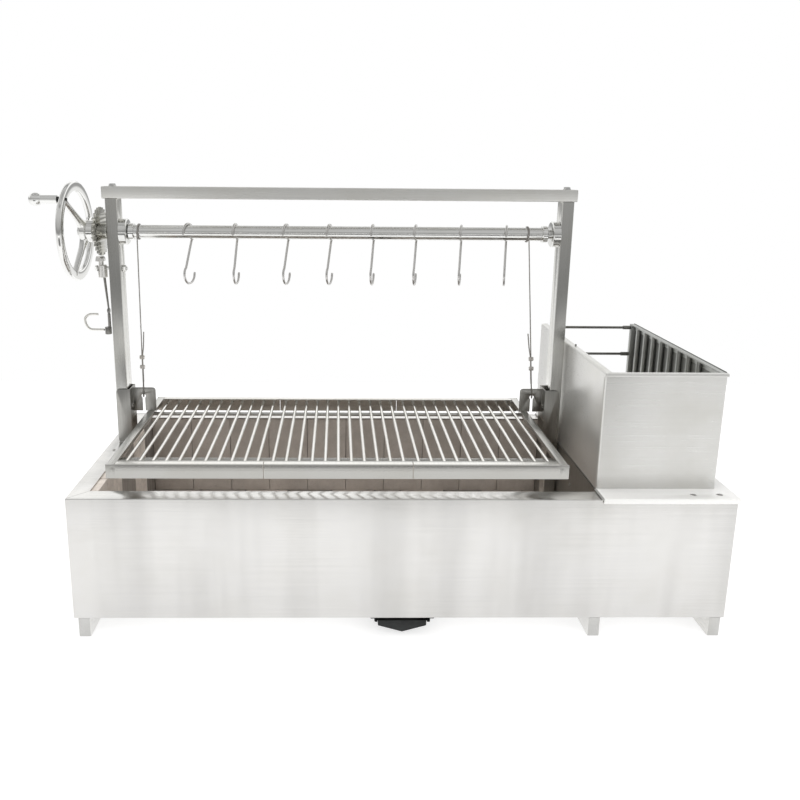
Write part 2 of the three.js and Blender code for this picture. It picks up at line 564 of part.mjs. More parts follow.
// ---------- lifting cables ----------
function addCables() {
  const tangentY = POST_MID_Y - PIPE.r - CABLE_R - GAP;
  for (const [side, sign] of SIDES) {
    const holeX = CARRIAGE.mid + sign * EAR.hole;
    const top = new THREE.Vector3(DRUM_CABLE_X[side], tangentY - 2 * CABLE_R - GAP, WINCH_Z - 4);
    const hole = new THREE.Vector3(holeX, POST_MID_Y, EAR.holeZ);
    const onLine = (z) => top.clone().lerp(hole, (top.z - z) / (top.z - hole.z));
    const joinZ = CLIP_Z[1] + 14;
    add(`cable_${side}`, rodAlong(new THREE.LineCurve3(top, onLine(joinZ + GAP)), CABLE_R, 1), CABLE_STEEL);

    // The lower end: through the eye of the ear and back up to a free tail, with two clips.
    const earClear = SLEEVE.thick / 2 + CABLE_R + 1.2;
    const loop = new THREE.CatmullRomCurve3([
      onLine(joinZ), onLine(530), onLine(500).add(new THREE.Vector3(0, -1, 0)),
      new THREE.Vector3(holeX, POST_MID_Y - earClear, EAR.holeZ + 12),
      new THREE.Vector3(holeX, POST_MID_Y - earClear + 1, EAR.holeZ + 1.5),
      new THREE.Vector3(holeX, POST_MID_Y, EAR.holeZ - 2.6),
      new THREE.Vector3(holeX, POST_MID_Y + earClear - 1, EAR.holeZ + 1.5),
      new THREE.Vector3(holeX, POST_MID_Y + earClear, EAR.holeZ + 12),
      onLine(520).add(new THREE.Vector3(0, 5.6, 0)), onLine(CLIP_Z[0]).add(new THREE.Vector3(0, 4.6, 0)),
      onLine(CLIP_Z[1]).add(new THREE.Vector3(0, 4.6, 0)),
      onLine(610).add(new THREE.Vector3(-3 * sign, 6, 0)),
      onLine(648).add(new THREE.Vector3(-5 * sign, 7, 0)),
    ], false, 'centripetal');
    const clips = CLIP_Z.map((z) => {
      const at = onLine(z);
      return block(at.x - 6, at.x + 6, at.y - 4, at.y + 9, z - 4, z + 4);
    });
    add(`cable_loop_${side}`, join(rodAlong(loop, CABLE_R, 48), ...clips), CABLE_STEEL);
  }
}

// ---------- S-hooks on the winch pipe ----------
function addHooks() {
  const { wireR, curlR, gapFromPipe, length } = HOOK;
  const curlZ = PIPE.r + gapFromPipe + wireR - curlR;          // centre of the upper curl, from the pipe axis
  const half = (length - 2 * (curlR + wireR)) / 2;             // from the hook's middle to a curl's centre
  // Upper half of the S in (y, z) about its own middle: from the open tip, over the top, to the shank.
  const upper = Array.from({ length: 11 }, (_, i) => {
    const angle = THREE.MathUtils.degToRad(184 - 21.4 * i);
    return [curlR * Math.cos(angle), half + curlR * Math.sin(angle)];
  });
  const outline = [...upper, ...upper.map(([u, v]) => [-u, -v]).reverse()];
  const points = outline.map(([u, v]) => new THREE.Vector3(0, u, v));
  const path = new THREE.CatmullRomCurve3(points, false, 'centripetal');
  HOOKS.forEach(([x, turn], i) => {
    const hook = rodAlong(path, wireR, 26, 6)
      .rotateZ(THREE.MathUtils.degToRad(-turn))
      .translate(x, POST_MID_Y, WINCH_Z + curlZ - half);
    add(`s_hook_${i + 1}`, hook, POLISHED);
  });
}

addFirebox();
addLining();
addAshTray();
addDeck();
addBrasero();
addGantry();
addWinch();
addPawl();
addCarriage();
addCables();
addHooks();

// The origin is on the floor under the middle of the whole object.
const LEFT_END = GRIP.ballX - GRIP.ballR;
model.position.set(-(LEFT_END + DECK.x1) / 2, -(DECK.y0 + DECK.y1) / 2, 0);

export default assembly;
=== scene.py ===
# Looks of the wood-fire grill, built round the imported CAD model. Builders work in millimetres with X = 0
# at the firebox's middle, Y = 0 at its front and Z = 0 at the floor (+X right, +Y back, +Z up); piece()
# turns a finished Shape into a mesh in metres, in the frame.
import math
import random

import bmesh
import bpy
from mathutils import Matrix, Vector, noise


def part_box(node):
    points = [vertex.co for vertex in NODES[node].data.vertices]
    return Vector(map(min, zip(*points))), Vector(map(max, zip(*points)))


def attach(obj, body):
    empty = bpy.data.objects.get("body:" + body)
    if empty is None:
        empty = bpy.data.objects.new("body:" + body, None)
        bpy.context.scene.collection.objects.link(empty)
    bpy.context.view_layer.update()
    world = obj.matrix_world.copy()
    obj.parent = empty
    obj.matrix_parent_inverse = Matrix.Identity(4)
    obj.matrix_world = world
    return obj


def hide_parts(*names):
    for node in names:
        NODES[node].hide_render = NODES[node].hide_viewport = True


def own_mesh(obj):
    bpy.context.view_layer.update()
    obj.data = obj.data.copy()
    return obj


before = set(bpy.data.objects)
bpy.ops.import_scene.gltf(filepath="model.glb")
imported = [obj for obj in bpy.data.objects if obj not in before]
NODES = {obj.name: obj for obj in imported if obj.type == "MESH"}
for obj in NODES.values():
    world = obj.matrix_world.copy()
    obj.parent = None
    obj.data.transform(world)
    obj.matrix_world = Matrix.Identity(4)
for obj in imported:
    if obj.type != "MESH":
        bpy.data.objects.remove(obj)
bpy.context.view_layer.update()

MM = 0.001
SIDES = (("left", -1), ("right", 1))
SHELL_LOW, SHELL_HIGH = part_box("firebox_shell")
ORIGIN = Vector(((SHELL_LOW.x + SHELL_HIGH.x) / 2, SHELL_LOW.y, 0)) / MM
POST_Y = [corner.y / MM - ORIGIN.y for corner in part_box("post_left")]

SHAFT_FIT = 12.3  # inside radius of what is fixed on the winch's 24 mm shaft
BEARING_BORE = 12.4
PIPE_RADIUS = 17.5
RATCHET_X = -760  # middle plane of the ratchet wheel, and of the pawl under it
EYE_X, EYE_Z = 524, 471  # hole for the cable in the carriage's ear: off the middle, and above the floor


# ---------- shapes ----------
class Shape:
    """Vertices and faces gathered for one piece; tones holds each face's shade number, dark 0 to plain 1:
    painted shade on most pieces, a darker own colour on the ropes.
    """

    def __init__(self):
        self.verts, self.faces, self.tones = [], [], []

    def add(self, verts, faces, tone=1.0):
        start = len(self.verts)
        self.verts += [Vector(v) for v in verts]
        self.faces += [[start + i for i in face] for face in faces]
        self.tones += [tone] * len(faces)

    def add_bmesh(self, bm, matrix=None, tone=1.0):
        bm.verts.index_update()
        place = matrix or Matrix()
        self.add([place @ v.co for v in bm.verts], [[v.index for v in f.verts] for f in bm.faces], tone)
        bm.free()


def span(node):
    """The lowest and highest corner of a CAD node, in the builders' millimetres."""
    low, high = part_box(node)
    return low / MM - ORIGIN, high / MM - ORIGIN


def middle(node):
    low, high = span(node)
    return (low + high) / 2


def axes(along):
    """Three unit vectors: along, and two across it."""
    unit = {"X": Vector((1, 0, 0)), "Y": Vector((0, 1, 0)), "Z": Vector((0, 0, 1))}
    if isinstance(along, str):
        first = unit[along]
    else:
        first = Vector(along).normalized()
    helper = unit["Z"] if abs(first.z) < 0.9 else unit["X"]
    second = first.cross(helper).normalized()
    return first, second, first.cross(second)


def fillet(points, radius, steps, closed=False):
    """The polyline with each corner rounded; radius may be a list with one value for each corner."""
    points = [Vector(p) for p in points]
    count = len(points)
    result = []
    for i, corner in enumerate(points):
        if not closed and i in (0, count - 1):
            result.append(corner)
            continue
        r = radius[i] if isinstance(radius, (list, tuple)) else radius
        before = points[i - 1] - corner
        after = points[(i + 1) % count] - corner
        turn = before.angle(after, math.pi)
        if r <= 0 or turn > math.pi - 0.01:
            result.append(corner)
            continue
        reach = min(r / math.tan(turn / 2), before.length * 0.49, after.length * 0.49)
        start = corner + before.normalized() * reach
        end = corner + after.normalized() * reach
        for k in range(steps + 1):
            t = k / steps
            result.append(start.lerp(corner, t).lerp(corner.lerp(end, t), t))
    return result


def smooth(points, steps):
    """A Catmull-Rom curve through the points."""
    points = [Vector(p) for p in points]
    padded = [2 * points[0] - points[1], *points, 2 * points[-1] - points[-2]]
    result = []
    for i in range(1, len(padded) - 2):
        p0, p1, p2, p3 = padded[i - 1:i + 3]
        for k in range(steps):
            t = k / steps
            result.append(0.5 * (2 * p1 + (p2 - p0) * t + (2 * p0 - 5 * p1 + 4 * p2 - p3) * t * t
                                 + (3 * p1 - p0 - 3 * p2 + p3) * t * t * t))
    return [*result, points[-1]]


def distances(points):
    """How far along a polyline each of its points lies."""
    result = [0]
    for a, b in zip(points, points[1:]):
        result.append(result[-1] + (b - a).length)
    return result


def directions(points):
    """The unit tangent at each point of a polyline."""
    last = len(points) - 1
    return [(points[min(i + 1, last)] - points[max(i - 1, 0)]).normalized() for i in range(last + 1)]


def flat(points):
    """(u, v) pairs as vectors in the plane w = 0."""
    return [Vector((u, v, 0)) for u, v in points]


def cube(low, high):
    """A bmesh box between two corners."""
    low, high = Vector(low), Vector(high)
    bm = bmesh.new()
    bmesh.ops.create_cube(bm, size=1)
    for v in bm.verts:
        v.co = Vector((low[i] + (v.co[i] + 0.5) * (high[i] - low[i]) for i in range(3)))
    return bm


def skin(shape, rings):
    """A closed surface over rings of equally many points, with a flat face at each end."""
    count = len(rings[0])
    faces = []
    for i in range(len(rings) - 1):
        for k in range(count):
            n = (k + 1) % count
            faces.append([i * count + k, i * count + n, (i + 1) * count + n, (i + 1) * count + k])
    faces += [list(range(count)), [(len(rings) - 1) * count + k for k in range(count)]]
    shape.add([point for ring in rings for point in ring], faces)


def around(centre, u, v, radius, count, start=0.0):
    """Count points on a circle across u and v."""
    angles = (start + 2 * math.pi * k / count for k in range(count))
    return [centre + (u * math.cos(angle) + v * math.sin(angle)) * radius for angle in angles]


def block(shape, low, high, bevel, segments=2, tone=1.0):
    """A box with rounded edges."""
    bm = cube(low, high)
    bmesh.ops.bevel(bm, geom=bm.edges[:], offset=bevel, segments=segments, profile=0.5, affect="EDGES")
    shape.add_bmesh(bm, tone=tone)


def turned(shape, profile, centre, along, segments):
    """A solid of revolution; profile is (distance, radius) pairs from axis to axis, or a closed loop."""
    a, u, v = axes(along)
    centre = Vector(centre)
    loop = profile[0][1] > 0 or profile[-1][1] > 0
    rings, verts, faces = [], [], []
    for distance, radius in profile:
        base = centre + a * distance
        if radius <= 1e-6:
            rings.append([len(verts)] * segments)
            verts.append(base)
            continue
        rings.append(list(range(len(verts), len(verts) + segments)))
        verts += around(base, u, v, radius, segments)
    pairs = list(zip(rings, rings[1:]))
    if loop:
        pairs.append((rings[-1], rings[0]))
    for first, second in pairs:
        for k in range(segments):
            n = (k + 1) % segments
            quad = list(dict.fromkeys([first[k], first[n], second[n], second[k]]))
            if len(quad) > 2:
                faces.append(quad)
    shape.add(verts, faces)


def cylinder(shape, start, end, radius, centre, along, chamfer, segments=48, bore=0):
    """A turned cylinder or ring between two distances along its axis, with small chamfers."""
    c = min(chamfer, radius / 3)
    outer = [(start, radius - c), (start + c, radius), (end - c, radius), (end, radius - c)]
    turned(shape, [(start, bore), *outer, (end, bore)], centre, along, segments)


def rod(shape, points, radius, sides=16, round_ends=True):
    """A bent round bar; radius is one number, or a function of the share of its length."""
    points = [Vector(p) for p in points]
    size = radius if callable(radius) else (lambda share: radius)
    lengths, tangents = distances(points), directions(points)
    stations = [(p, t, size(s / lengths[-1])) for p, t, s in zip(points, tangents, lengths)]
    if round_ends:
        ends = []
        for end, way in ((0, -1), (-1, 1)):
            point, tangent, r = stations[end]
            ends.append([(point + tangent * (way * r * (out - 1)), tangent, r * share)
                         for out, share in ((0.98, 0.2), (0.7, 0.72), (0.3, 0.95))])
        stations = [*ends[0], *stations[1:-1], *reversed(ends[1])]
    across, rings = axes(stations[0][1])[1], []
    for point, tangent, r in stations:
        across = (across - tangent * across.dot(tangent)).normalized()
        rings.append(around(point, across, tangent.cross(across), r, sides))
    skin(shape, rings)


def rope(shape, points, radius):
    """A twisted wire rope: strands wound round a core, one turn every lay millimetres."""
    strands, lay, per_turn = 6, 22, 10
    points = [Vector(p) for p in points]
    lengths = distances(points)
    stations = max(2, int(lengths[-1] / lay * per_turn))
    centre, index = [], 0
    for k in range(stations + 1):
        at = lengths[-1] * k / stations
        while index < len(points) - 2 and lengths[index + 1] < at:
            index += 1
        share = (at - lengths[index]) / max(lengths[index + 1] - lengths[index], 1e-9)
        centre.append(points[index].lerp(points[index + 1], share))
    strand_r = radius * 0.36
    orbit = radius - strand_r
    tangents = directions(centre)
    across, frames = axes(tangents[0])[1], []
    for tangent in tangents:
        across = (across - tangent * across.dot(tangent)).normalized()
        frames.append((across, tangent.cross(across)))
    for s in range(strands):
        path = []
        for k, (point, (u, v)) in enumerate(zip(centre, frames)):
            angle = 2 * math.pi * (s / strands + k / per_turn)
            path.append(point + (u * math.cos(angle) + v * math.sin(angle)) * orbit)
        rod(shape, path, strand_r, sides=6, round_ends=False)
    rod(shape, centre, orbit * 0.8, sides=6, round_ends=False)


def plate(shape, outline, holes, thickness, place, bevel):
    """A flat plate with rounded edges, from its outline and holes in (u, v), standing on w = 0."""
    curve = bpy.data.curves.new("plate", "CURVE")
    curve.dimensions = "2D"
    curve.fill_mode = "BOTH"
    curve.extrude = max(thickness / 2 - bevel, 0.001)
    curve.bevel_depth = bevel
    curve.bevel_resolution = 1
    curve.offset = -bevel
    for loop in [outline, *holes]:
        spline = curve.splines.new("POLY")
        spline.points.add(len(loop) - 1)
        for point, (u, v) in zip(spline.points, ((p[0], p[1]) for p in loop)):
            point.co = (u, v, 0, 1)
        spline.use_cyclic_u = True
    holder = bpy.data.objects.new("plate", curve)
    bm = bmesh.new()
    bm.from_mesh(holder.to_mesh())
    holder.to_mesh_clear()
    bmesh.ops.remove_doubles(bm, verts=bm.verts, dist=0.0005)
    shape.add_bmesh(bm, place @ Matrix.Translation((0, 0, thickness / 2)))
    bpy.data.objects.remove(holder)
    bpy.data.curves.remove(curve)


def plane(origin, u, v):
    """The matrix that puts (u, v, w) on a plane through origin; u and v are names of axes."""
    u, v = axes(u)[0], axes(v)[0]
    matrix = Matrix((u, v, u.cross(v))).transposed().to_4x4()
    return Matrix.Translation(Vector(origin)) @ matrix


def upright(y):
    """The plane that faces the front at y: u runs to the right, v up and w to the front."""
    return plane((0, y, 0), "X", "Z")


def circle(centre, radius, count, start=0.0, sweep=360.0):
    """Points of a circle or arc in (u, v)."""
    whole = abs(sweep) >= 360
    steps = count if whole else count - 1
    return [(centre[0] + radius * math.cos(math.radians(start + sweep * k / steps)),
             centre[1] + radius * math.sin(math.radians(start + sweep * k / steps))) for k in range(count)]


def folded(shape, path, thickness, bend, place, length):
    """A bar of folded sheet: the path is its middle line in (u, v), run from w = 0 to length."""
    line = fillet(flat(path), bend, 4)
    half = thickness / 2
    normals = [Vector((-along.y, along.x, 0)) for along in directions(line)]
    soft = min(0.35, half * 0.5)
    section = [p + n * half for p, n in zip(line, normals)]
    section += [p - n * half for p, n in reversed(list(zip(line, normals)))]
    section = fillet(section, [soft if i in (0, len(line) - 1, len(line), 2 * len(line) - 1) else 0
                               for i in range(len(section))], 2, closed=True)
    rings = []
    for w, inset in ((0, soft), (soft, 0), (length - soft, 0), (length, soft)):
        ring = []
        for p in section:
            inward = min(line, key=lambda q: (q - p).length) - p
            inward = inward.normalized() * inset if inward.length > 1e-6 else inward
            ring.append(place @ (p + inward + Vector((0, 0, w))))
        rings.append(ring)
    skin(shape, rings)


def hexagon(shape, centre, along, across_flats, height):
    """A hexagon head or nut with chamfered corners, standing on centre and rising along its axis."""
    a, u, v = axes(along)
    corner = across_flats / math.sqrt(3)
    rows = [(0, corner), (height * 0.82, corner), (height, corner * 0.86)]
    skin(shape, [around(Vector(centre) + a * rise, u, v, r, 6, math.pi / 6) for rise, r in rows])


def washer(shape, bore, radius, thickness, centre, along="X", segments=32):
    """A flat ring, or a disc if bore is 0, standing on centre."""
    profile = [(0, bore), (0, radius), (thickness, radius), (thickness, bore)]
    turned(shape, profile, centre, along, segments)


def weld(shape, rings, centre, along, segments=24):
    """A low collar of weld round a rod that meets a wall; rings are (distance along, radius) pairs."""
    turned(shape, [(rings[0][0], 0), *rings, (rings[-1][0], 0)], centre, along, segments)


def screw(shape, centre, along, radius):
    """A pan-head screw with a socket in the middle."""
    outline = ((0, 0), (0, 1), (0.25, 1), (0.5, 0.82), (0.6, 0.5), (0.3, 0.42), (0.28, 0))
    turned(shape, [(radius * rise, radius * r) for rise, r in outline], centre, along, 24)


def bead(shape, points, radius):
    """A weld bead: an uneven rod laid along a corner."""
    points = smooth(points, 8)
    ripple = random.Random(len(points))
    bumps = 64
    wobble = [ripple.uniform(0.75, 1.2) for _ in range(bumps)]
    rod(shape, points, lambda share: radius * wobble[int(share * (bumps - 1))], sides=8)


def from_cad(shape, node, bevel, wide=0, is_wide=None):
    """The CAD node's own shape with its sharp edges rounded by bevel, or by wide where is_wide(edge)."""
    bm = bmesh.new()
    bm.from_mesh(NODES[node].data)
    for v in bm.verts:
        v.co = v.co / MM - ORIGIN
    bmesh.ops.remove_doubles(bm, verts=bm.verts, dist=0.002)
    bmesh.ops.dissolve_limit(bm, angle_limit=math.radians(1), verts=bm.verts, edges=bm.edges)

    def round_off(edges, offset, count):
        bmesh.ops.bevel(bm, geom=edges, offset=offset, segments=count, profile=0.5, affect="EDGES",
                        clamp_overlap=True)

    def sharp_edges():
        return [e for e in bm.edges if len(e.link_faces) == 2 and e.calc_face_angle(0) > math.radians(40)]

    if wide:
        round_off([e for e in sharp_edges() if is_wide(e)], wide, 4)
    round_off(sharp_edges(), bevel, 2)
    shape.add_bmesh(bm)


def shade(shape, picks, tone):
    """Gives every face whose middle picks(point, normal) chooses the shade number tone."""
    for i, face in enumerate(shape.faces):
        a, b, c = (shape.verts[k] for k in face[:3])
        centre = sum((shape.verts[k] for k in face), Vector()) / len(face)
        if picks(centre, (b - a).cross(c - a).normalized()):
            shape.tones[i] = tone


def add_object(name, data):
    """A new object in the scene."""
    obj = bpy.data.objects.new(name, data)
    bpy.context.scene.collection.objects.link(obj)
    return obj


def piece(name, shape, material, body, slot, *nodes, sharp=32):
    """Makes the gathered shape a Blender piece that rides on body and stands for the CAD nodes."""
    mesh = bpy.data.meshes.new(name)
    mesh.from_pydata([(v + ORIGIN) * MM for v in shape.verts], [], shape.faces)
    tone = mesh.attributes.new("tone", "FLOAT", "FACE")
    tone.data.foreach_set("value", shape.tones)
    bm = bmesh.new()
    bm.from_mesh(mesh)
    bmesh.ops.recalc_face_normals(bm, faces=bm.faces)
    bm.to_mesh(mesh)
    bm.free()
    mesh.materials.append(material)
    mesh.shade_smooth()
    mesh.set_sharp_from_angle(angle=math.radians(sharp))
    obj = add_object(name, mesh)
    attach(obj, body)
    if nodes:
        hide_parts(*nodes)
    return obj


def cover(node, shape, material, body, slot, sharp=32):
    """The piece that stands for one CAD node, named after it."""
    return piece(f"{node}_vis", shape, material, body, slot, node, sharp=sharp)


# ---------- materials ----------
def new_material(name, colour, roughness, metallic):
    material = bpy.data.materials.new(name)
    material.use_nodes = True
    tree = material.node_tree
    shader = tree.nodes["Principled BSDF"]
    shader.inputs["Base Color"].default_value = (*colour, 1)
    shader.inputs["Roughness"].default_value = roughness
    shader.inputs["Metallic"].default_value = metallic
    return material, tree, shader


def add_node(tree, kind, **inputs):
    """A shader node; each input is a socket or a constant, and _ in its name stands for a space."""
    node = tree.nodes.new(f"ShaderNode{kind}")
    for name, value in inputs.items():
        target = node.inputs[name.replace("_", " ")]
        if isinstance(value, bpy.types.NodeSocket):
            tree.links.new(value, target)
        else:
            target.default_value = value
    return node


def noise_at(tree, scale, detail, roughness=0.55):
    """Noise in object coordinates; scale is features per metre along X, Y and Z."""
    place = add_node(tree, "TexCoord").outputs["Object"]
    scaled = add_node(tree, "Mapping", Vector=place, Scale=scale).outputs["Vector"]
    texture = add_node(tree, "TexNoise", Vector=scaled, Scale=1, Detail=detail, Roughness=roughness)
    return texture.outputs["Fac"]


def tone_of(tree):
    """The shade number of the face, as shade() sets it."""
    node = add_node(tree, "Attribute")
    node.attribute_name = "tone"
    return node.outputs["Fac"]


def ranged(tree, value, low, high, from_low=0.3, from_high=0.7):
    """Value moved from one range to another, and held inside it."""
    return add_node(tree, "MapRange", Value=value, From_Min=from_low, From_Max=from_high,
                    To_Min=low, To_Max=high).outputs["Result"]


def mixed(tree, factor, first, second, blend="MIX"):
    """Two colours mixed or multiplied; each of the three values is a socket or a constant."""
    node = tree.nodes.new("ShaderNodeMix")
    node.data_type = "RGBA"
    node.blend_type = blend
    for socket, value in (("Factor", factor), ("A", first), ("B", second)):
        target = next(s for s in node.inputs if s.name == socket and s.enabled)
        if isinstance(value, bpy.types.NodeSocket):
            tree.links.new(value, target)
        elif isinstance(value, (int, float)):
            target.default_value = value
        else:
            target.default_value = (*value, 1)
    return next(s for s in node.outputs if s.enabled)


def arithmetic(tree, operation, first, second):
    node = tree.nodes.new("ShaderNodeMath")
    node.operation = operation
    for i, value in enumerate((first, second)):
        if isinstance(value, bpy.types.NodeSocket):
            tree.links.new(value, node.inputs[i])
        else:
            node.inputs[i].default_value = value
    return node.outputs[0]


def bumped(tree, shader, height, strength, distance, normal=None):
    """Gives the shader a bump map, on top of the one that made normal."""
    node = add_node(tree, "Bump", Height=height, Strength=strength, Distance=distance)
    if normal:
        tree.links.new(normal, node.inputs["Normal"])
    tree.links.new(node.outputs["Normal"], shader.inputs["Normal"])
    return node.outputs["Normal"]


def steel(name, colour, roughness, along, streak, dents=0.0, stain=0.06, metallic=1.0, reflection_bands=0.0):
    """Stainless steel: brushed along an axis, or plain with fine wear if along is None.

    streak, stain and reflection_bands say how dark the brush lines, the clouds and the soft upright bands of
    painted reflection get;
    dents is the height in metres of the sheet's slow waves.
    """
    material, tree, shader = new_material(name, colour, roughness, metallic)
    broad, fine = ([420.0] * 3, [2600.0] * 3) if along else ([40.0] * 3, [900.0] * 3)
    if along:
        broad["XYZ".index(along)] = 3.0
        fine["XYZ".index(along)] = 14.0
    broad_noise = noise_at(tree, broad, 4)
    fine_noise = noise_at(tree, fine, 2)
    clouds = noise_at(tree, (7, 9, 8), 4, 0.6)
    lines = arithmetic(tree, "ADD", ranged(tree, broad_noise, 0, 0.6), ranged(tree, fine_noise, 0, 0.4))
    dark = tuple(c * (1 - 2 * streak) for c in colour)
    streaked = mixed(tree, lines, dark, colour)
    stained = (1 - stain, 1 - stain * 1.1, 1 - stain * 1.5)
    shade = mixed(tree, ranged(tree, clouds, 0, 1, 0.42, 0.75), (1, 1, 1), stained)
    # painted reflection: soft upright bands darken the sheet as the room's reflection does
    if reflection_bands:
        soft = noise_at(tree, (7, 7, 0.7), 3, 0.5)
        reflection_band = mixed(tree, ranged(tree, soft, 0, 1, 0.44, 0.62), (1, 1, 1), (1 - reflection_bands,) * 3)
        shade = mixed(tree, 1.0, shade, reflection_band, "MULTIPLY")
    if along:
        grain = add_node(tree, "CombineXYZ", **{along: 1})
        tree.links.new(grain.outputs[0], shader.inputs["Tangent"])
        shader.inputs["Anisotropic"].default_value = 0.75
        shader.inputs["Anisotropic Rotation"].default_value = 0.25
    # the face's tone from shade() darkens the steel: painted shade, except on the ropes, where it is their
    # own darker colour
    level = mixed(tree, tone_of(tree), (0.36, 0.36, 0.355), (1.0, 1.0, 1.0))
    shade = mixed(tree, 1.0, shade, level, "MULTIPLY")
    tree.links.new(mixed(tree, 1.0, streaked, shade, "MULTIPLY"), shader.inputs["Base Color"])
    rough = arithmetic(tree, "MULTIPLY", ranged(tree, lines, 1.12, 0.9, 0.2, 0.8), roughness)
    rough = arithmetic(tree, "ADD", rough, ranged(tree, clouds, 0, 0.05, 0.5, 0.8))
    tree.links.new(rough, shader.inputs["Roughness"])
    normal = bumped(tree, shader, lines, 0.07 if along else 0.05, 0.0002)
    if dents:
        wave = noise_at(tree, (4.5, 4.5, 1.0), 1)
        bumped(tree, shader, wave, 1.0, dents, normal)
    return material


def firebrick():
    """Dusty firebrick; a face's tone is painted shade, from black in full shade (0) to pale and fully lit
    (1).
    """
    material, tree, shader = new_material("firebrick", (0.45, 0.34, 0.27), 0.92, 0)
    body = mixed(tree, tone_of(tree), (0.055, 0.048, 0.044), (0.95, 0.86, 0.78))
    mottle = noise_at(tree, (26, 26, 26), 6, 0.7)
    grit = noise_at(tree, (420, 420, 420), 3, 0.7)
    drag = noise_at(tree, (60, 60, 9), 4, 0.6)
    colour = mixed(tree, ranged(tree, mottle, 0, 0.35, 0.35, 0.6), body, (0.36, 0.32, 0.285))
    colour = mixed(tree, ranged(tree, drag, 0, 0.3, 0.45, 0.75), colour, (0.62, 0.575, 0.53))
    colour = mixed(tree, ranged(tree, grit, 0, 0.5, 0.58, 0.75), colour, (0.12, 0.10, 0.085))
    tree.links.new(colour, shader.inputs["Base Color"])
    tree.links.new(ranged(tree, mottle, 0.84, 0.98), shader.inputs["Roughness"])
    pits = arithmetic(tree, "ADD", arithmetic(tree, "MULTIPLY", mottle, 0.6), grit)
    bumped(tree, shader, pits, 0.7, 0.0012)
    return material


def black_paint(name, colour=(0.011, 0.012, 0.012), roughness=0.45):
    """Worn black enamel or rubber."""
    material, tree, shader = new_material(name, colour, roughness, 0)
    shader.inputs["Specular IOR Level"].default_value = 0.28
    peel = noise_at(tree, (500, 500, 500), 3)
    wear = noise_at(tree, (30, 18, 30), 5, 0.65)
    tree.links.new(mixed(tree, ranged(tree, wear, 0, 1, 0.45, 0.7), colour, tuple(c * 2.4 for c in colour)),
                   shader.inputs["Base Color"])
    tree.links.new(ranged(tree, wear, roughness - 0.1, roughness + 0.16), shader.inputs["Roughness"])
    bumped(tree, shader, peel, 0.16, 0.0003)
    return material


SHEET_X = steel("sheet_brushed_x", (0.87, 0.86, 0.845), 0.21, "X", 0.03,
                dents=0.006, stain=0.03, reflection_bands=0.13)
SHEET_Y = steel("sheet_brushed_y", (0.80, 0.795, 0.78), 0.27, "Y", 0.035, dents=0.004)
BASKET_X = steel("basket_sheet_x", (0.84, 0.835, 0.815), 0.30, "X", 0.02,
                 dents=0.003, metallic=0.82, reflection_bands=0.05)
TUBE_X = steel("tube_brushed_x", (0.80, 0.795, 0.77), 0.30, "X", 0.08)
TUBE_Z = steel("tube_brushed_z", (0.86, 0.855, 0.83), 0.24, "Z", 0.09)
SLEEVE_Z = steel("sleeve_brushed_z", (0.47, 0.465, 0.445), 0.32, "Z", 0.12)
FRAME_Y = steel("frame_brushed_y", (0.60, 0.595, 0.575), 0.28, "Y", 0.07)
ROD_Y = steel("rod_bright_y", (0.82, 0.81, 0.78), 0.22, "Y", 0.05)
BAR_Z = steel("bar_plain_z", (0.58, 0.59, 0.575), 0.36, "Z", 0.08)
HOOK_WIRE = steel("steel_hook", (0.66, 0.65, 0.64), 0.26, None, 0.05)
PIPE_METAL = steel("steel_pipe", (0.78, 0.78, 0.77), 0.12, "X", 0.03)
POLISHED = steel("steel_polished", (0.80, 0.80, 0.79), 0.09, None, 0.02, stain=0.04)
TURNED = steel("steel_turned", (0.76, 0.76, 0.75), 0.11, None, 0.06)
GEAR = steel("steel_gear", (0.66, 0.66, 0.64), 0.15, None, 0.16, stain=0.2)
WIRE = steel("wire_rope", (0.80, 0.77, 0.745), 0.42, None, 0.18, stain=0.2)
# painted reflection: near white and barely metallic, so the steel deck shows as bright as the lit room it
# reflects
DECK_X = steel("deck_brushed_x", (0.97, 0.965, 0.95), 0.42, "X", 0.02,
               dents=0.003, stain=0.03, metallic=0.12)
DARK_ROD = steel("rod_dark", (0.30, 0.295, 0.285), 0.34, None, 0.12, stain=0.15)
BRICK = firebrick()
BLACK = black_paint("black_enamel")
RUBBER = black_paint("black_washer", (0.016, 0.016, 0.017), 0.6)


# ---------- firebox ----------
RIM_SCREW = (-738, 297)  # x, y
PARTITION_SCREWS = [(60, 290), (234, 278), (300, 278), (540, 290)]  # y, z
REAR_BOLTS = [(-159, 321), (155, 321)]  # x, z
FOLD = 43  # width of the rim that is folded inward
SLIP_X = -707.6  # left face of the thin brick slip behind the left post
LEFT_POST_SIDE = -707  # where the floor bricks begin next to the left post


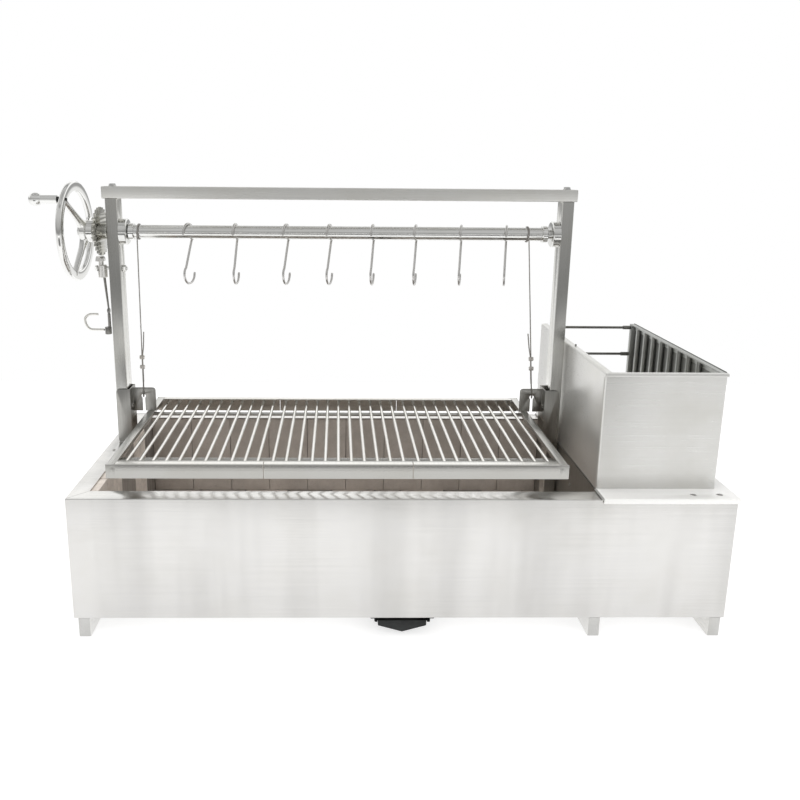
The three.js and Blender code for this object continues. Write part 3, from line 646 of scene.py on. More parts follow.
def make_firebox():
    low, high = span("firebox_shell")
    shape = Shape()

    def is_fold(edge):
        a, b = (v.co for v in edge.verts)
        outside = all(abs(abs(p.x) - high.x) < 0.1 or p.y < 0.1 or abs(p.y - high.y) < 0.1 for p in (a, b))
        return outside and (a.z > high.z - 0.1 and b.z > high.z - 0.1 or abs(a.z - b.z) > 100)

    from_cad(shape, "firebox_shell", 0.5, 1.9, is_fold)
    screw(shape, (*RIM_SCREW, high.z - 0.4), "Z", 4)
    for x, z in REAR_BOLTS:
        washer(shape, 0, 11, 1.6, (x, high.y - 2, z), (0, -1, 0))
        hexagon(shape, (x, high.y - 3.5, z), (0, -1, 0), 13, 6)
    for x in (low.x, high.x):
        for y in (low.y, high.y):
            inward = Vector((FOLD * (1 if x < 0 else -1), FOLD * (1 if y < 1 else -1), 0))
            corner = Vector((x, y, high.z - 0.15))
            bead(shape, [corner + inward * t for t in (0.08, 0.36, 0.66, 0.96)], 0.45)
    # painted shade: the firebox's front faces are darkened
    shade(shape, lambda p, n: n.y < -0.95 and p.y < 1, 0.72)
    cover("firebox_shell", shape, SHEET_X, "frame", "brushed_steel")

    shape = Shape()
    from_cad(shape, "firebox_partition", 0.5)
    face = span("firebox_partition")[0].x
    for y, z in PARTITION_SCREWS:
        screw(shape, (face + 0.3, y, z), (-1, 0, 0), 4)
    cover("firebox_partition", shape, SLEEVE_Z, "frame", "dark_steel")

    for name in ("runner_left", "runner_middle", "runner_right"):
        shape = Shape()
        from_cad(shape, name, 0.5, 1.8,
                 lambda e: abs(e.verts[0].co.z - e.verts[1].co.z) > 30 and max(v.co.y for v in e.verts) < 0.1)
        # painted shade: the runners' front faces are darkened
        shade(shape, lambda p, n: n.y < -0.9, 0.55)
        cover(name, shape, SHEET_Y, "frame", "brushed_steel")


def brick(shape, low, high, seed, tone):
    """One worn firebrick: chipped edges and slightly uneven faces."""
    low, high = Vector(low), Vector(high)
    bm = cube(low, high)
    bmesh.ops.bevel(bm, geom=bm.edges[:], offset=1.6, segments=2, profile=0.6, affect="EDGES")
    long_edges = [e for e in bm.edges if e.calc_length() > 12]
    bmesh.ops.subdivide_edges(bm, edges=long_edges, cuts=9, use_grid_fill=True)
    middle_point = (low + high) / 2
    for v in bm.verts:
        wear = noise.noise(v.co * 0.045 + Vector((seed, 0, 0))) * 0.7
        chip = max(0, noise.noise(v.co * 0.11 + Vector((0, seed, 0))) - 0.25) * 4
        near_edge = sum(min(v.co[i] - low[i], high[i] - v.co[i]) < 3 for i in range(3)) > 1
        inward = (middle_point - v.co).normalized()
        v.co += inward * (0.5 + wear * 0.6 + (chip if near_edge else 0))
    shape.add_bmesh(bm, tone=tone)


def brick_wall(node, along, seed, tones, joint=1.2):
    """A row of standing bricks with narrow joints, and mortar behind them that is black: painted shade in the
    joints.

    The bricks of the left wall leave the post's notch open, down to a thin slip next to the sheet.
    """
    low, high = span(node)
    axis = "XY".index(along)
    across = 1 - axis
    count = len(tones)
    notch = POST_Y[0] - 1.5, POST_Y[1] + 1.5
    shape = Shape()
    for i, tone in enumerate(tones):
        a, b = low.copy(), high.copy()
        a[axis] = low[axis] + (high[axis] - low[axis]) * i / count + (joint if i else 0)
        b[axis] = low[axis] + (high[axis] - low[axis]) * (i + 1) / count - (joint if i < count - 1 else 0)
        parts = [(a, b)]
        if node == "brick_lining_left" and a.y < POST_Y[1] and b.y > POST_Y[0]:
            parts = [(Vector((SLIP_X, max(a.y, notch[0]), a.z)), Vector((b.x, min(b.y, notch[1]), b.z)))]
            if a.y < POST_Y[0] - 8:
                parts.append((a, Vector((b.x, notch[0], b.z))))
            if b.y > POST_Y[1] + 8:
                parts.append((Vector((a.x, notch[1], a.z)), b))
        for k, (c, d) in enumerate(parts):
            brick(shape, c, d, seed * 31 + i * 7 + k, tone)
    low[across] += 4.5
    high[across] -= 4.5
    low[axis] += 2
    high[axis] -= 2
    low.z += 1
    high.z -= 5
    # the mortar's tone 0 paints it black: painted shade in the joints
    if node == "brick_lining_left":
        block(shape, low, (high.x, POST_Y[0] - 3, high.z), 0.5, 1, tone=0.0)
        block(shape, (low.x, POST_Y[1] + 3, low.z), high, 0.5, 1, tone=0.0)
    else:
        block(shape, low, high, 0.5, 1, tone=0.0)
    cover(node, shape, BRICK, "frame", "firebrick", sharp=50)


def make_lining():
    # each brick's tone is painted shade for the firebox's inside; the left wall's third and fifth bricks are
    # painted dark as shaded bricks
    brick_wall("brick_lining_left", "Y", 3, (1.0, 1.0, 0.28, 1.0, 0.15))
    brick_wall("brick_lining_front", "X", 7, (0.5, 0.6, 0.4, 0.7, 0.5, 0.6, 0.5, 0.4, 0.6, 0.5))
    brick_wall("brick_lining_rear", "X", 9, (0.58, 0.62, 0.59, 0.61, 0.64, 0.60, 0.61, 0.58, 0.61, 0.59), 0.3)

    low, high = span("brick_floor")
    slot = (Vector((-36, 70, 0)), Vector((42, 470, 0)))
    tones = random.Random(11)
    shape = Shape()
    columns = [low.x, -565, -430, -300, -168, slot[0].x, slot[1].x, 175, 290, 415, high.x]
    rows = [low.y, slot[0].y, 210, POST_Y[0] - 1.5, POST_Y[1] + 1.5, slot[1].y, high.y]
    for x0, x1 in zip(columns, columns[1:]):
        for y0, y1 in zip(rows, rows[1:]):
            if x0 == slot[0].x and slot[0].y <= y0 < slot[1].y:
                continue
            beside_post = y0 > POST_Y[0] - 2 and y1 < POST_Y[1] + 2
            if beside_post and x0 == columns[-2]:
                continue
            left = LEFT_POST_SIDE if beside_post and x0 == low.x else x0
            # a random tone round a painted half shade for each floor brick
            tone = tones.uniform(0.3, 0.7)
            brick(shape, (left + 1, y0 + 1, low.z), (x1 - 1, y1 - 1, high.z), x0 + y0, tone)
    cover("brick_floor", shape, BRICK, "frame", "firebrick", sharp=50)


# ---------- ash tray ----------
def make_ash_tray():
    low, high = span("ash_tray")
    mid = (low.x + high.x) / 2
    shape = Shape()
    wall, half, lip, top = 1.5, 56.2, 62.2, high.z - 0.75
    keel, shoulder = low.z + 0.9, 27
    path = [(mid - lip, top), (mid - half, top), (mid - half, shoulder), (mid, keel),
            (mid + half, shoulder), (mid + half, top), (mid + lip, top)]
    folded(shape, path, wall, 2, upright(high.y), high.y - low.y)
    ends = fillet(flat(path[1:-1]), 2, 3)
    for y in (low.y + wall, high.y - 0.1):
        plate(shape, ends, [], wall, upright(y), 0.3)
    cover("ash_tray", shape, BLACK, "tray", "black_steel")

    for side, sign in SIDES:
        name = f"tray_rail_{side}"
        low, high = span(name)
        foot, outer = (low.x, high.x) if sign > 0 else (high.x, low.x)
        riser = outer - sign * 10
        path = [(foot, low.z + 1), (riser, low.z + 1), (riser, high.z - 1), (outer, high.z - 1)]
        shape = Shape()
        folded(shape, path, 2, 2, upright(high.y), high.y - low.y)
        for y in (60, 300, 560):
            screw(shape, (outer - sign * 5, y, high.z - 2), (0, 0, -1), 2.6)
        cover(name, shape, BLACK, "frame", "black_steel")


# ---------- deck plate and fire basket ----------
def make_deck():
    low, high = span("deck_plate")
    thick, wall, ease = 2.7, 2, 0.06
    outline = [(low.x, low.y), (high.x, low.y), (high.x, high.y), (low.x, high.y)]
    outline = fillet(flat(outline), 2.5, 3, closed=True)
    finger_holes = [circle((x, 22), 7, 40) for x in (667, 728)]
    shape = Shape()
    plate(shape, outline, finger_holes, thick, plane((0, 0, high.z - thick), "X", "Y"), 0.9)
    block(shape, (low.x + 1, low.y + ease, low.z), (high.x - 1, low.y + wall, high.z - 1), 0.4)
    block(shape, (low.x + 1, high.y - wall, low.z), (high.x - 1, high.y - ease, high.z - 1), 0.4)
    block(shape, (high.x - wall, low.y + 1, low.z), (high.x - ease, high.y - 1, high.z - 1), 0.4)
    # painted shade: the deck's left edge is darkened behind the front, and a dark block stands for the
    # shadowed slit between it and the rim
    shade(shape, lambda p, n: p.x < low.x + 1.5 and p.y > 56, 0.0)
    block(shape, (low.x - 4, low.y + 0.4, high.z - 2.4), (low.x + 1.6, 52, high.z + 0.2), 0.3, tone=0.0)
    cover("deck_plate", shape, DECK_X, "deck", "brushed_steel")


def make_brasero():
    """The fire basket: one folded front and left wall, the wall of bars and two rods across the back."""
    low, high = span("brasero_shell")
    wall_low, wall_high = span("brasero_bar_wall")
    top, front = wall_high.z, low.y + 9
    right = wall_high.x
    pin, bracket_y, stub_y, stub_z = (464, 308, 0), 325, 570, 594
    shape = Shape()
    path = [(right, front + 1), (low.x + 1, front + 1), (low.x + 1, high.y)]
    folded(shape, path, 2, 6, plane((0, 0, low.z), "X", "Y"), top - low.z - 4)
    hem = [(front + 2, top - 1), (low.y + 1, top - 1), (low.y + 1, top - 7.5)]
    folded(shape, hem, 2, 5, plane((low.x + 0.5, 0, 0), "Y", "Z"), right - low.x - 0.6)
    rim = [(low.x + 1, top - 12), (low.x + 1, top - 1), (low.x + 16, top - 1)]
    folded(shape, rim, 2, 5, upright(high.y), high.y - low.y - 6)
    cylinder(shape, top - 1, high.z - 0.2, 2.4, pin, "Z", 0.4, 20)
    shade(shape, lambda p, n: p.z > top + 0.5, 0.0)
    block(shape, (low.x + 1, front + 1, low.z), (wall_low.x - 3, high.y - 14, low.z + 2), 0.4)
    block(shape, (low.x + 0.8, bracket_y - 7, top - 58), (low.x + 4.5, bracket_y + 7, top - 18), 0.8)
    for z in (top - 26, top - 49):
        screw(shape, (low.x + 4, bracket_y, z), "X", 3)
    rod(shape, [(low.x + 0.5, stub_y, stub_z), (low.x + 9, stub_y, stub_z)], 3.2)
    # painted shade: the basket's front faces are darker, while the sideways faces, the lit left wall among
    # them, keep full brightness
    shade(shape, lambda p, n: abs(n.y) > 0.95 and p.y < front + 2, 0.74)
    shade(shape, lambda p, n: abs(n.x) > 0.95, 1.0)
    cover("brasero_shell", shape, BASKET_X, "brasero", "dark_steel")

    low, high = wall_low, wall_high
    shape = Shape()
    folded(shape, [(low.x, high.z - 1.5), (high.x - 1, high.z - 1.5), (high.x - 1, high.z - 18)], 3, 2,
           upright(high.y), high.y - low.y)
    block(shape, (high.x - 2.6, low.y + 1, high.z - 2), (high.x, high.y, high.z + 1.2), 0.5, tone=0.0)
    # painted shade: the sheet behind the bars is darkened for the shade in the gaps between them
    sheet_low = Vector((high.x - 2, low.y + 0.2, low.z + 0.2))
    block(shape, sheet_low, (high.x - 0.1, high.y - 0.2, high.z - 2), 0.4, tone=0.25)
    block(shape, low, (high.x - 0.2, high.y, low.z + 6), 0.8)
    block(shape, (low.x, high.y - 12, low.z), (high.x - 0.2, high.y, high.z - 1), 1.2)
    block(shape, low, (high.x - 0.2, low.y + 5, high.z - 1), 0.8)
    x, last_y, pitch = high.x - 7.5, high.y - 49, 53
    for i in range(8):
        y = last_y - pitch * i
        rod(shape, [(x, y, low.z + 4), (x, y, high.z - 2)], 6, 28, round_ends=False)
        for z, lift in ((low.z + 6, 1), (high.z - 3, -1)):
            weld(shape, [(-1.2, 7.3), (0.8, 6.9), (1.8, 6.0)], (x, y, z), (0, 0, lift))
    cover("brasero_bar_wall", shape, BAR_Z, "brasero", "bar_steel")

    for level in ("upper", "lower"):
        name = f"brasero_rear_rod_{level}"
        low, high = span(name)
        y, z = (low.y + high.y) / 2, (low.z + high.z) / 2
        shape = Shape()
        rod(shape, [(low.x, y, z), (high.x - 1, y, z)], 4, 24)
        cylinder(shape, high.x - 22, high.x, 5.6, (0, y, z), "X", 0.8)
        screw(shape, (high.x - 13, low.y + 0.4, z), (0, -1, 0), 2)
        cover(name, shape, DARK_ROD, "brasero", "bar_steel")


# ---------- gantry ----------
def make_gantry():
    for side, _ in SIDES:
        name = f"post_{side}"
        low, high = span(name)

        def is_corner(edge, low=low, high=high):
            a, b = (v.co for v in edge.verts)
            tall = abs(a.z - b.z) > 100
            return tall and min(a.x - low.x, high.x - a.x) < 0.1 and min(a.y - low.y, high.y - a.y) < 0.1

        shape = Shape()
        from_cad(shape, name, 0.4, 2.2, is_corner)
        # painted shade: the posts' front and back faces are darker than their lit sides
        shade(shape, lambda p, n: abs(n.y) > 0.9, 0.42)
        cover(name, shape, TUBE_Z, "frame", "dark_steel")

    low, high = span("beam")
    shape = Shape()
    block(shape, low, high, 2.4, 4)
    cover("beam", shape, TUBE_X, "frame", "brushed_steel")

    for side, sign in SIDES:
        low, high = span(f"beam_bolt_{side}")
        mid = (low + high) / 2
        face = span("beam")[1].z
        shape = Shape()
        washer(shape, 0, 10, 1.4, (mid.x, mid.y, face + 0.2), "Z", 40)
        hexagon(shape, (mid.x, mid.y, face + 1.6), "Z", 15, 5.2)
        cylinder(shape, low.z, face + 1, 4.9, (mid.x, mid.y, 0), "Z", 0.6, 24)
        cover(f"beam_bolt_{side}", shape, POLISHED, "frame", "polished_steel")

        low, high = span(f"bearing_{side}")
        mid = (low + high) / 2
        r, length = high.z - mid.z, high.x - low.x
        profile = [(0, BEARING_BORE), (0, r - 0.7), (0.7, r), (length - 2.6, r), (length - 0.5, r - 2.2),
                   (length, r - 3.4), (length, BEARING_BORE)]
        start = low.x if side == "left" else high.x
        shape = Shape()
        turned(shape, profile, (start, mid.y, mid.z), (-sign, 0, 0), 96)
        ring = [(r - 1.2, 5.2), (r - 0.02, 5.2), (r - 0.02, 4.2), (r - 1.0, 3.4), (r - 1.2, 0)]
        turned(shape, [(r - 1.2, 0), *ring], (mid.x, mid.y, mid.z), (0, -0.93, 0.37), 24)
        cover(f"bearing_{side}", shape, TURNED, "frame", "brushed_steel")


# ---------- winch ----------
def make_drum():
    low, high = span("winch_shaft")
    mid = (low + high) / 2
    shape = Shape()
    cylinder(shape, low.x, high.x, 12, (0, mid.y, mid.z), "X", 1.2, 64)
    cover("winch_shaft", shape, TURNED, "drum", "polished_steel")

    low, high = span("drum_pipe")
    shape = Shape()
    cylinder(shape, low.x, high.x, high.z - mid.z, (0, mid.y, mid.z), "X", 0.8, 96, bore=SHAFT_FIT)
    cover("drum_pipe", shape, PIPE_METAL, "drum", "polished_steel")

    for side, _ in SIDES:
        low, high = span(f"collar_{side}")
        r = high.z - mid.z
        shape = Shape()
        cylinder(shape, low.x, high.x, r, (0, mid.y, mid.z), "X", 1.4, 80, bore=PIPE_RADIUS + 0.2)
        socket = [(r - 1, 0), (r - 1, 4), (r + 0.2, 4), (r + 0.2, 2.9), (r - 0.8, 2.6), (r - 0.8, 0)]
        turned(shape, socket, ((low.x + high.x) / 2, mid.y, mid.z), (0, -0.9, 0.44), 24)
        cover(f"collar_{side}", shape, POLISHED, "drum", "polished_steel")

        low, high = span(f"cable_wrap_{side}")
        turns, wire = 2, 1.55
        orbit = high.z - mid.z - wire
        steps = 72 * turns
        path = []
        for k in range(steps + 1):
            angle = 2 * math.pi * turns * k / steps
            x = low.x + wire + (high.x - low.x - 2 * wire) * k / steps
            path.append((x, mid.y - orbit * math.cos(angle), mid.z - orbit * math.sin(angle)))
        shape = Shape()
        rope(shape, path, wire)
        shade(shape, lambda p, n: True, 0.4)
        cover(f"cable_wrap_{side}", shape, WIRE, "drum", "wire_rope")


def make_ratchet():
    low, high = span("ratchet_wheel")
    mid = (low + high) / 2
    tip, root, teeth, thick = high.z - mid.z, 52.5, 26, 8
    face = RATCHET_X - thick / 2
    corners, radii = [], []
    for i in range(teeth):
        at = 2 * math.pi * i / teeth
        for share, r, soft in ((0.04, root, 1.2), (0.5, tip, 0.9), (0.9, tip, 1.6)):
            angle = at + share * math.pi / teeth
            corners.append(Vector((r * math.cos(angle), r * math.sin(angle), 0)))
            radii.append(soft)
    outline = fillet(corners, radii, 3, closed=True)
    shape = Shape()
    bore = circle((0, 0), BEARING_BORE, 48)
    plate(shape, outline, [bore], thick, plane((face, mid.y, mid.z), "Y", "Z"), 0.8)
    cylinder(shape, low.x, high.x, 20, (0, mid.y, mid.z), "X", 1, 64, bore=SHAFT_FIT)
    for i in range(3):
        angle = math.radians(50 + 120 * i)
        centre = (face - 0.2, mid.y + 34 * math.cos(angle), mid.z + 34 * math.sin(angle))
        hexagon(shape, centre, (-1, 0, 0), 9, 4)
        washer(shape, 0, 7, 0.8, centre, (-1, 0, 0), 24)
    cover("ratchet_wheel", shape, GEAR, "drum", "dark_steel")

    shape = Shape()
    cylinder(shape, low.x + 0.2, low.x + 3.6, 24, (0, mid.y, mid.z), "X", 0.8, 64, bore=20.2)
    piece("washer_ring", shape, RUBBER, "drum", "black_steel")


def make_handwheel():
    shaft = middle("drum_pipe")
    y, z = shaft.y, shaft.z
    rim_x, rim_r, axial, radial = -824, 114, 8, 12.5
    hub0, hub1, hub_r = -811, span("handwheel")[1].x, 28
    shape = Shape()
    section = []
    for k in range(15):
        angle = math.radians(-90 + 180 * k / 14)
        section.append((-axial * math.cos(angle), radial * math.sin(angle)))
    section += [(axial * 0.55, radial * 0.97), (axial * 0.86, radial * 0.84), (axial, radial * 0.6),
                (axial, -radial * 0.6), (axial * 0.86, -radial * 0.84), (axial * 0.55, -radial * 0.97)]
    turned(shape, [(rim_x + u, rim_r + v) for u, v in section], (0, y, z), "X", 144)
    hub = [(hub0, SHAFT_FIT), (hub0, 19), (hub0 + 0.8, 21), (hub0 + 3, 24.6), (hub0 + 6, 27),
           (hub0 + 9, hub_r), (hub1 - 3, hub_r), (hub1 - 1, 27), (hub1, 25), (hub1, SHAFT_FIT)]
    turned(shape, hub, (0, y, z), "X", 96)
    for i in range(3):
        turn = Matrix.Rotation(math.radians(43 + 120 * i), 3, "X")
        points, sizes = [], []
        for share in [k / 24 for k in range(25)]:
            x = hub0 + 11 + (rim_x + 0.5 - hub0 - 11) * share
            out = hub_r - 8 + (rim_r - hub_r + 8) * share
            points.append(turn @ Vector((x, 0, out)) + Vector((0, y, z)))
            root, end = max(0, 1 - share / 0.34), max(0, (share - 0.80) / 0.2)
            sizes.append(9.0 - 2.2 * share + 4.0 * root ** 2.2 + 2.2 * end ** 2)
        rod(shape, points, lambda share, sizes=sizes: sizes[min(24, round(share * 24))], 32, round_ends=False)
    cover("handwheel", shape, POLISHED, "drum", "polished_steel", sharp=40)

    low, high = span("wheel_nut")
    shape = Shape()
    washer(shape, SHAFT_FIT, 16, 1, (high.x - 1, y, z), "X", 48)
    hexagon(shape, (high.x - 0.9, y, z), (-1, 0, 0), 27, high.x - low.x - 0.9)
    cover("wheel_nut", shape, TURNED, "drum", "polished_steel")


def make_grip():
    low, high = span("handle_grip")
    mid = (low + high) / 2
    ball_r, barrel = high.z - mid.z, 10.3
    neck, ball_x = high.x, low.x + ball_r
    profile = [(neck, 4.3), (neck, barrel - 1), (neck - 1, barrel), (neck - 20, barrel)]
    join = math.asin((barrel - 0.2) / ball_r)
    for k in range(25):
        angle = join + (math.pi - join) * k / 24
        profile.append((ball_x + ball_r * math.cos(angle), ball_r * math.sin(angle)))
    profile[-1] = (low.x, 0)
    profile += [(ball_x + 1, 0), (ball_x + 1, 4.3)]
    shape = Shape()
    turned(shape, profile, (0, mid.y, mid.z), "X", 72)
    cover("handle_grip", shape, POLISHED, "grip", "polished_steel", sharp=28)

    low, high = span("handle_spindle")
    shape = Shape()
    neck0, neck1 = neck + 0.4, -832.4
    turned(shape, [(low.x + 4, 0), (low.x + 4, 3.9), (neck0, 3.9), (neck0, 6.4), (neck0 + 0.8, 7),
                   (neck1 - 0.8, 7), (neck1, 6.4), (neck1, 3.9), (high.x - 1, 3.9), (high.x, 3), (high.x, 0)],
           (0, mid.y, mid.z), "X", 40)
    cover("handle_spindle", shape, BLACK, "drum", "black_steel")


# ---------- pawl ----------
def make_pawl():
    low, high = span("pawl_bolt")
    y, z = (low.y + high.y) / 2, (low.z + high.z) / 2
    shape = Shape()
    washer(shape, 0, 8.2, 1.2, (low.x + 4.6, y, z))
    hexagon(shape, (low.x + 4.7, y, z), (-1, 0, 0), 13, 4.7)
    cylinder(shape, low.x + 3, high.x, 4.9, (0, y, z), "X", 0.7, 32)
    cover("pawl_bolt", shape, POLISHED, "frame", "polished_steel")

    low, high = span("pawl_nut")
    shape = Shape()
    washer(shape, 5.3, 9, 1.4, (low.x, y, z))
    hexagon(shape, (low.x + 1.4, y, z), "X", 15, high.x - low.x - 1.4)
    cover("pawl_nut", shape, TURNED, "frame", "polished_steel")

    x = RATCHET_X
    top = span("pawl")[1].z - z
    nose = flat([(-10.8, 18), (-7.5, 27), (-2.2, top), (2.2, top), (10.8, 26), (10.8, 18)])
    nose = fillet(nose, [2, 4, 1.6, 1.6, 4, 2], 4, closed=True)
    shape = Shape()
    plate(shape, nose, [], 20.6, plane((x - 15.8, y, z), "Y", "Z"), 1.4)
    cylinder(shape, z + 7, z + 20, 6.4, (x - 4, y, 0), "Z", 0.6, 40)
    cylinder(shape, z - 24, z + 9, 12, (x - 1, y, 0), "Z", 1.6, 56)
    cover("pawl", shape, SHEET_X, "pawl_assembly", "brushed_steel")

    eye_x, eye_z, bend_z = x + 8, 704, 750
    shape = Shape()
    rod(shape, [(x + 2, y, span("pawl_rod")[1].z), (x + 5, y, bend_z), (eye_x, y, eye_z + 5)],
        lambda share: 3.4 - 1.1 * share, 24, round_ends=False)
    cylinder(shape, eye_x - 3, eye_x + 3, 6.9, (0, y, eye_z), "X", 1, 36)
    cover("pawl_rod", shape, DARK_ROD, "pawl_assembly", "dark_steel")

    shape = Shape()
    nut_foot, nut_top, ridges = 641.5, 660.5, 40
    cylinder(shape, nut_top - 0.5, span("release_block")[1].z, 3.9, (eye_x, y, 0), "Z", 0.8, 32)
    knurl = []
    for k in range(ridges):
        r, angle = (8.4 if k % 2 else 7.7), 2 * math.pi * k / ridges
        knurl.append((r * math.cos(angle), r * math.sin(angle)))
    plate(shape, knurl, [], nut_top - nut_foot, plane((eye_x - 4, y, nut_foot), "X", "Y"), 0.8)
    cover("release_block", shape, DARK_ROD, "pawl_assembly", "dark_steel")

    path = [(13, 653), (32, 653), (49, 654), (58, 661), (63, 673), (62, 685), (53, 693), (40, 694.5),
            (27, 694)]
    shape = Shape()
    rod(shape, smooth([(eye_x - out, y, height) for out, height in path], 8), 3.3, 24)
    cover("release_handle", shape, ROD_Y, "pawl_assembly", "rod_steel")


# ---------- carriage ----------
def make_carriage():
    """The frame that the winch lifts: two side angles, two cross rods, the sleeves and the grate."""
    low, high = span("carriage_frame")
    top, tall, sheet, rod_z = high.z, 33, 3, 406.7
    shape = Shape()
    for sign, outer in ((-1, low.x), (1, high.x)):
        inner = outer - sign * 20
        path = [(outer - sign * 1.5, top - tall), (outer - sign * 1.5, top - 1.5), (inner, top - 1.5)]
        folded(shape, path, sheet, 3, upright(high.y), high.y - low.y)
    for y in (82, 414):
        rod(shape, [(low.x + 1, y, rod_z), (high.x - 1, y, rod_z)], 5, 32, round_ends=False)
        for sign, outer in ((-1, low.x), (1, high.x)):
            centre = (outer - sign * sheet, y, rod_z)
            weld(shape, [(0, 7.4), (1.2, 6.6), (2.6, 5.2)], centre, (-sign, 0, 0), 28)
    cover("carriage_frame", shape, FRAME_Y, "carriage", "brushed_steel")

    for side, sign in SIDES:
        make_sleeve(side, sign)
    for name in ("grate_panel_left", "grate_panel_middle", "grate_panel_right"):
        make_panel(name)


def make_sleeve(side, sign):
    """A C-shaped sleeve of sheet round a post, and the ear with the eye for the cable."""
    name = f"carriage_sleeve_{side}"
    middle_x, thick = middle("carriage_frame").x, 3
    web, free, inner = (middle_x + sign * d for d in (552.5, 589.5, 491.5))
    y0, y1, bottom, top = 345, 400, span(name)[0].z, 497
    shape = Shape()
    flange = flat([(web, bottom), (free, bottom), (free, top), (web, top)])
    flange = fillet(flange, [0, 9, 9, 0], 6, closed=True)
    for y in (y0 + thick, y1):
        plate(shape, flange, [], thick, upright(y), 0.5)
    a, b = sorted((web + sign * 0.03, web + sign * thick))
    block(shape, (a, y0 + 0.05, bottom + 60), (b, y1 - 0.05, top - 0.05), 0.9)
    ear_bottom, ear_top, slot_top, hole = 430.3, 495, 466.5, middle_x + sign * EYE_X
    near, far = hole - sign * 3.6, hole + sign * 3.6
    ear = [(web + sign, ear_bottom), (web + sign, ear_top), (inner, ear_top), (inner, ear_bottom),
           (near, ear_bottom), (near, slot_top), (far, slot_top), (far, ear_bottom)]
    ear = fillet(flat(ear), [0, 0, 10, 1, 1.4, 0, 0, 1.4], 6, closed=True)
    first = next(i for i, p in enumerate(ear) if abs(p.x - near) < 0.1 and abs(p.y - slot_top) < 0.1)
    opening = 53  # degrees below level at which the slot's two sides meet the eye
    from_angle = 180 + opening if sign > 0 else -opening
    ear[first:first + 2] = circle((hole, EYE_Z), 6, 29, from_angle, -sign * (180 + 2 * opening))
    plate(shape, ear, [], thick, upright(374), 0.5)
    for offset in (-1.8, 1.8):
        bead(shape, [(web - sign * 0.4, 372.5 + offset, z) for z in (436, 455, 475, 492)], 1.5)
    hexagon(shape, (web + sign * 0.2, 358.5, 450), (-sign, 0, 0), 11, 4.2)
    cover(name, shape, SLEEVE_Z, "carriage", "dark_steel")


def make_panel(name):
    """A third of the grate: a front and a rear angle, joined by rods.

    On the outer panels the two angles reach out over the carriage's side angle.
    """
    low, high = span(name)
    sheet, gap, side_rail, top = 3, 0.3, 20.3, high.z
    inside0 = low.x + (side_rail if name.endswith("left") else gap)
    inside1 = high.x - (side_rail if name.endswith("right") else gap)
    shape = Shape()
    for face, ledge, way, foot in ((low.y, 24, 1, top - 33), (high.y, 20, -1, top - 40)):
        path = [(face + way * sheet / 2, foot), (face + way * sheet / 2, top - sheet / 2),
                (face + way * ledge, top - sheet / 2)]
        folded(shape, path, sheet, 3, plane((inside0, 0, 0), "Y", "Z"), inside1 - inside0)
        a, b = sorted((face, face + way * sheet))
        if inside0 - low.x > 5:
            block(shape, (low.x, a + 0.05, foot), (inside0 + 6, b - 0.05, top - 0.05), 0.5)
        if high.x - inside1 > 5:
            block(shape, (inside1 - 6, a + 0.05, foot), (high.x, b - 0.05, top - 0.05), 0.5)
    count, pitch, z = 11, 30, 416
    half_row = (count - 1) / 2 * pitch
    to_seam = 17.25 + half_row - gap
    if name.endswith("left"):
        centre = high.x - to_seam
    elif name.endswith("right"):
        centre = low.x + to_seam
    else:
        centre = (low.x + high.x) / 2
    for k in range(count):
        x = centre - half_row + k * pitch
        rod(shape, [(x, low.y + 1.5, z), (x, high.y - 1.5, z)], 4, 24, round_ends=False)
        for y, way in ((low.y + sheet, 1), (high.y - sheet, -1)):
            weld(shape, [(-0.6, 6.2), (0.7, 5.4), (1.9, 4.3)], (x, y, z), (0, way, 0), 20)
    # painted shade: the front angle's upright faces are darkened, and the rear angle's upright faces a little
    shade(shape, lambda p, n: p.y < low.y + 1 and abs(n.y) > 0.8, 0.32)
    shade(shape, lambda p, n: p.y > high.y - sheet - 0.5 and abs(n.y) > 0.8, 0.9)
    cover(name, shape, ROD_Y, name.replace("panel_", ""), "rod_steel")


# ---------- cables and hooks ----------
def clip(shape, centre):
    """A U-bolt cable clip: a saddle, the U-bolt, and two nuts in front."""
    leg, wire, steps = 3.9, 1.35, 12
    block(shape, centre + Vector((-6.2, -3.4, -5.4)), centre + Vector((6.2, 1.8, 5.4)), 1.6)
    for x in (-leg, leg):
        rod(shape, [centre + Vector((x, -3.9, 0)), centre + Vector((x, 8.6, 0))], wire, 12, round_ends=False)
        hexagon(shape, centre + Vector((x, -3.4, 0)), (0, -1, 0), 4.2, 1.6)
    angles = [math.pi * k / steps for k in range(steps + 1)]
    bow = [centre + Vector((leg * math.cos(a), 5.2 + 3.4 * math.sin(a), 0)) for a in angles]
    rod(shape, bow, wire, 12, round_ends=False)


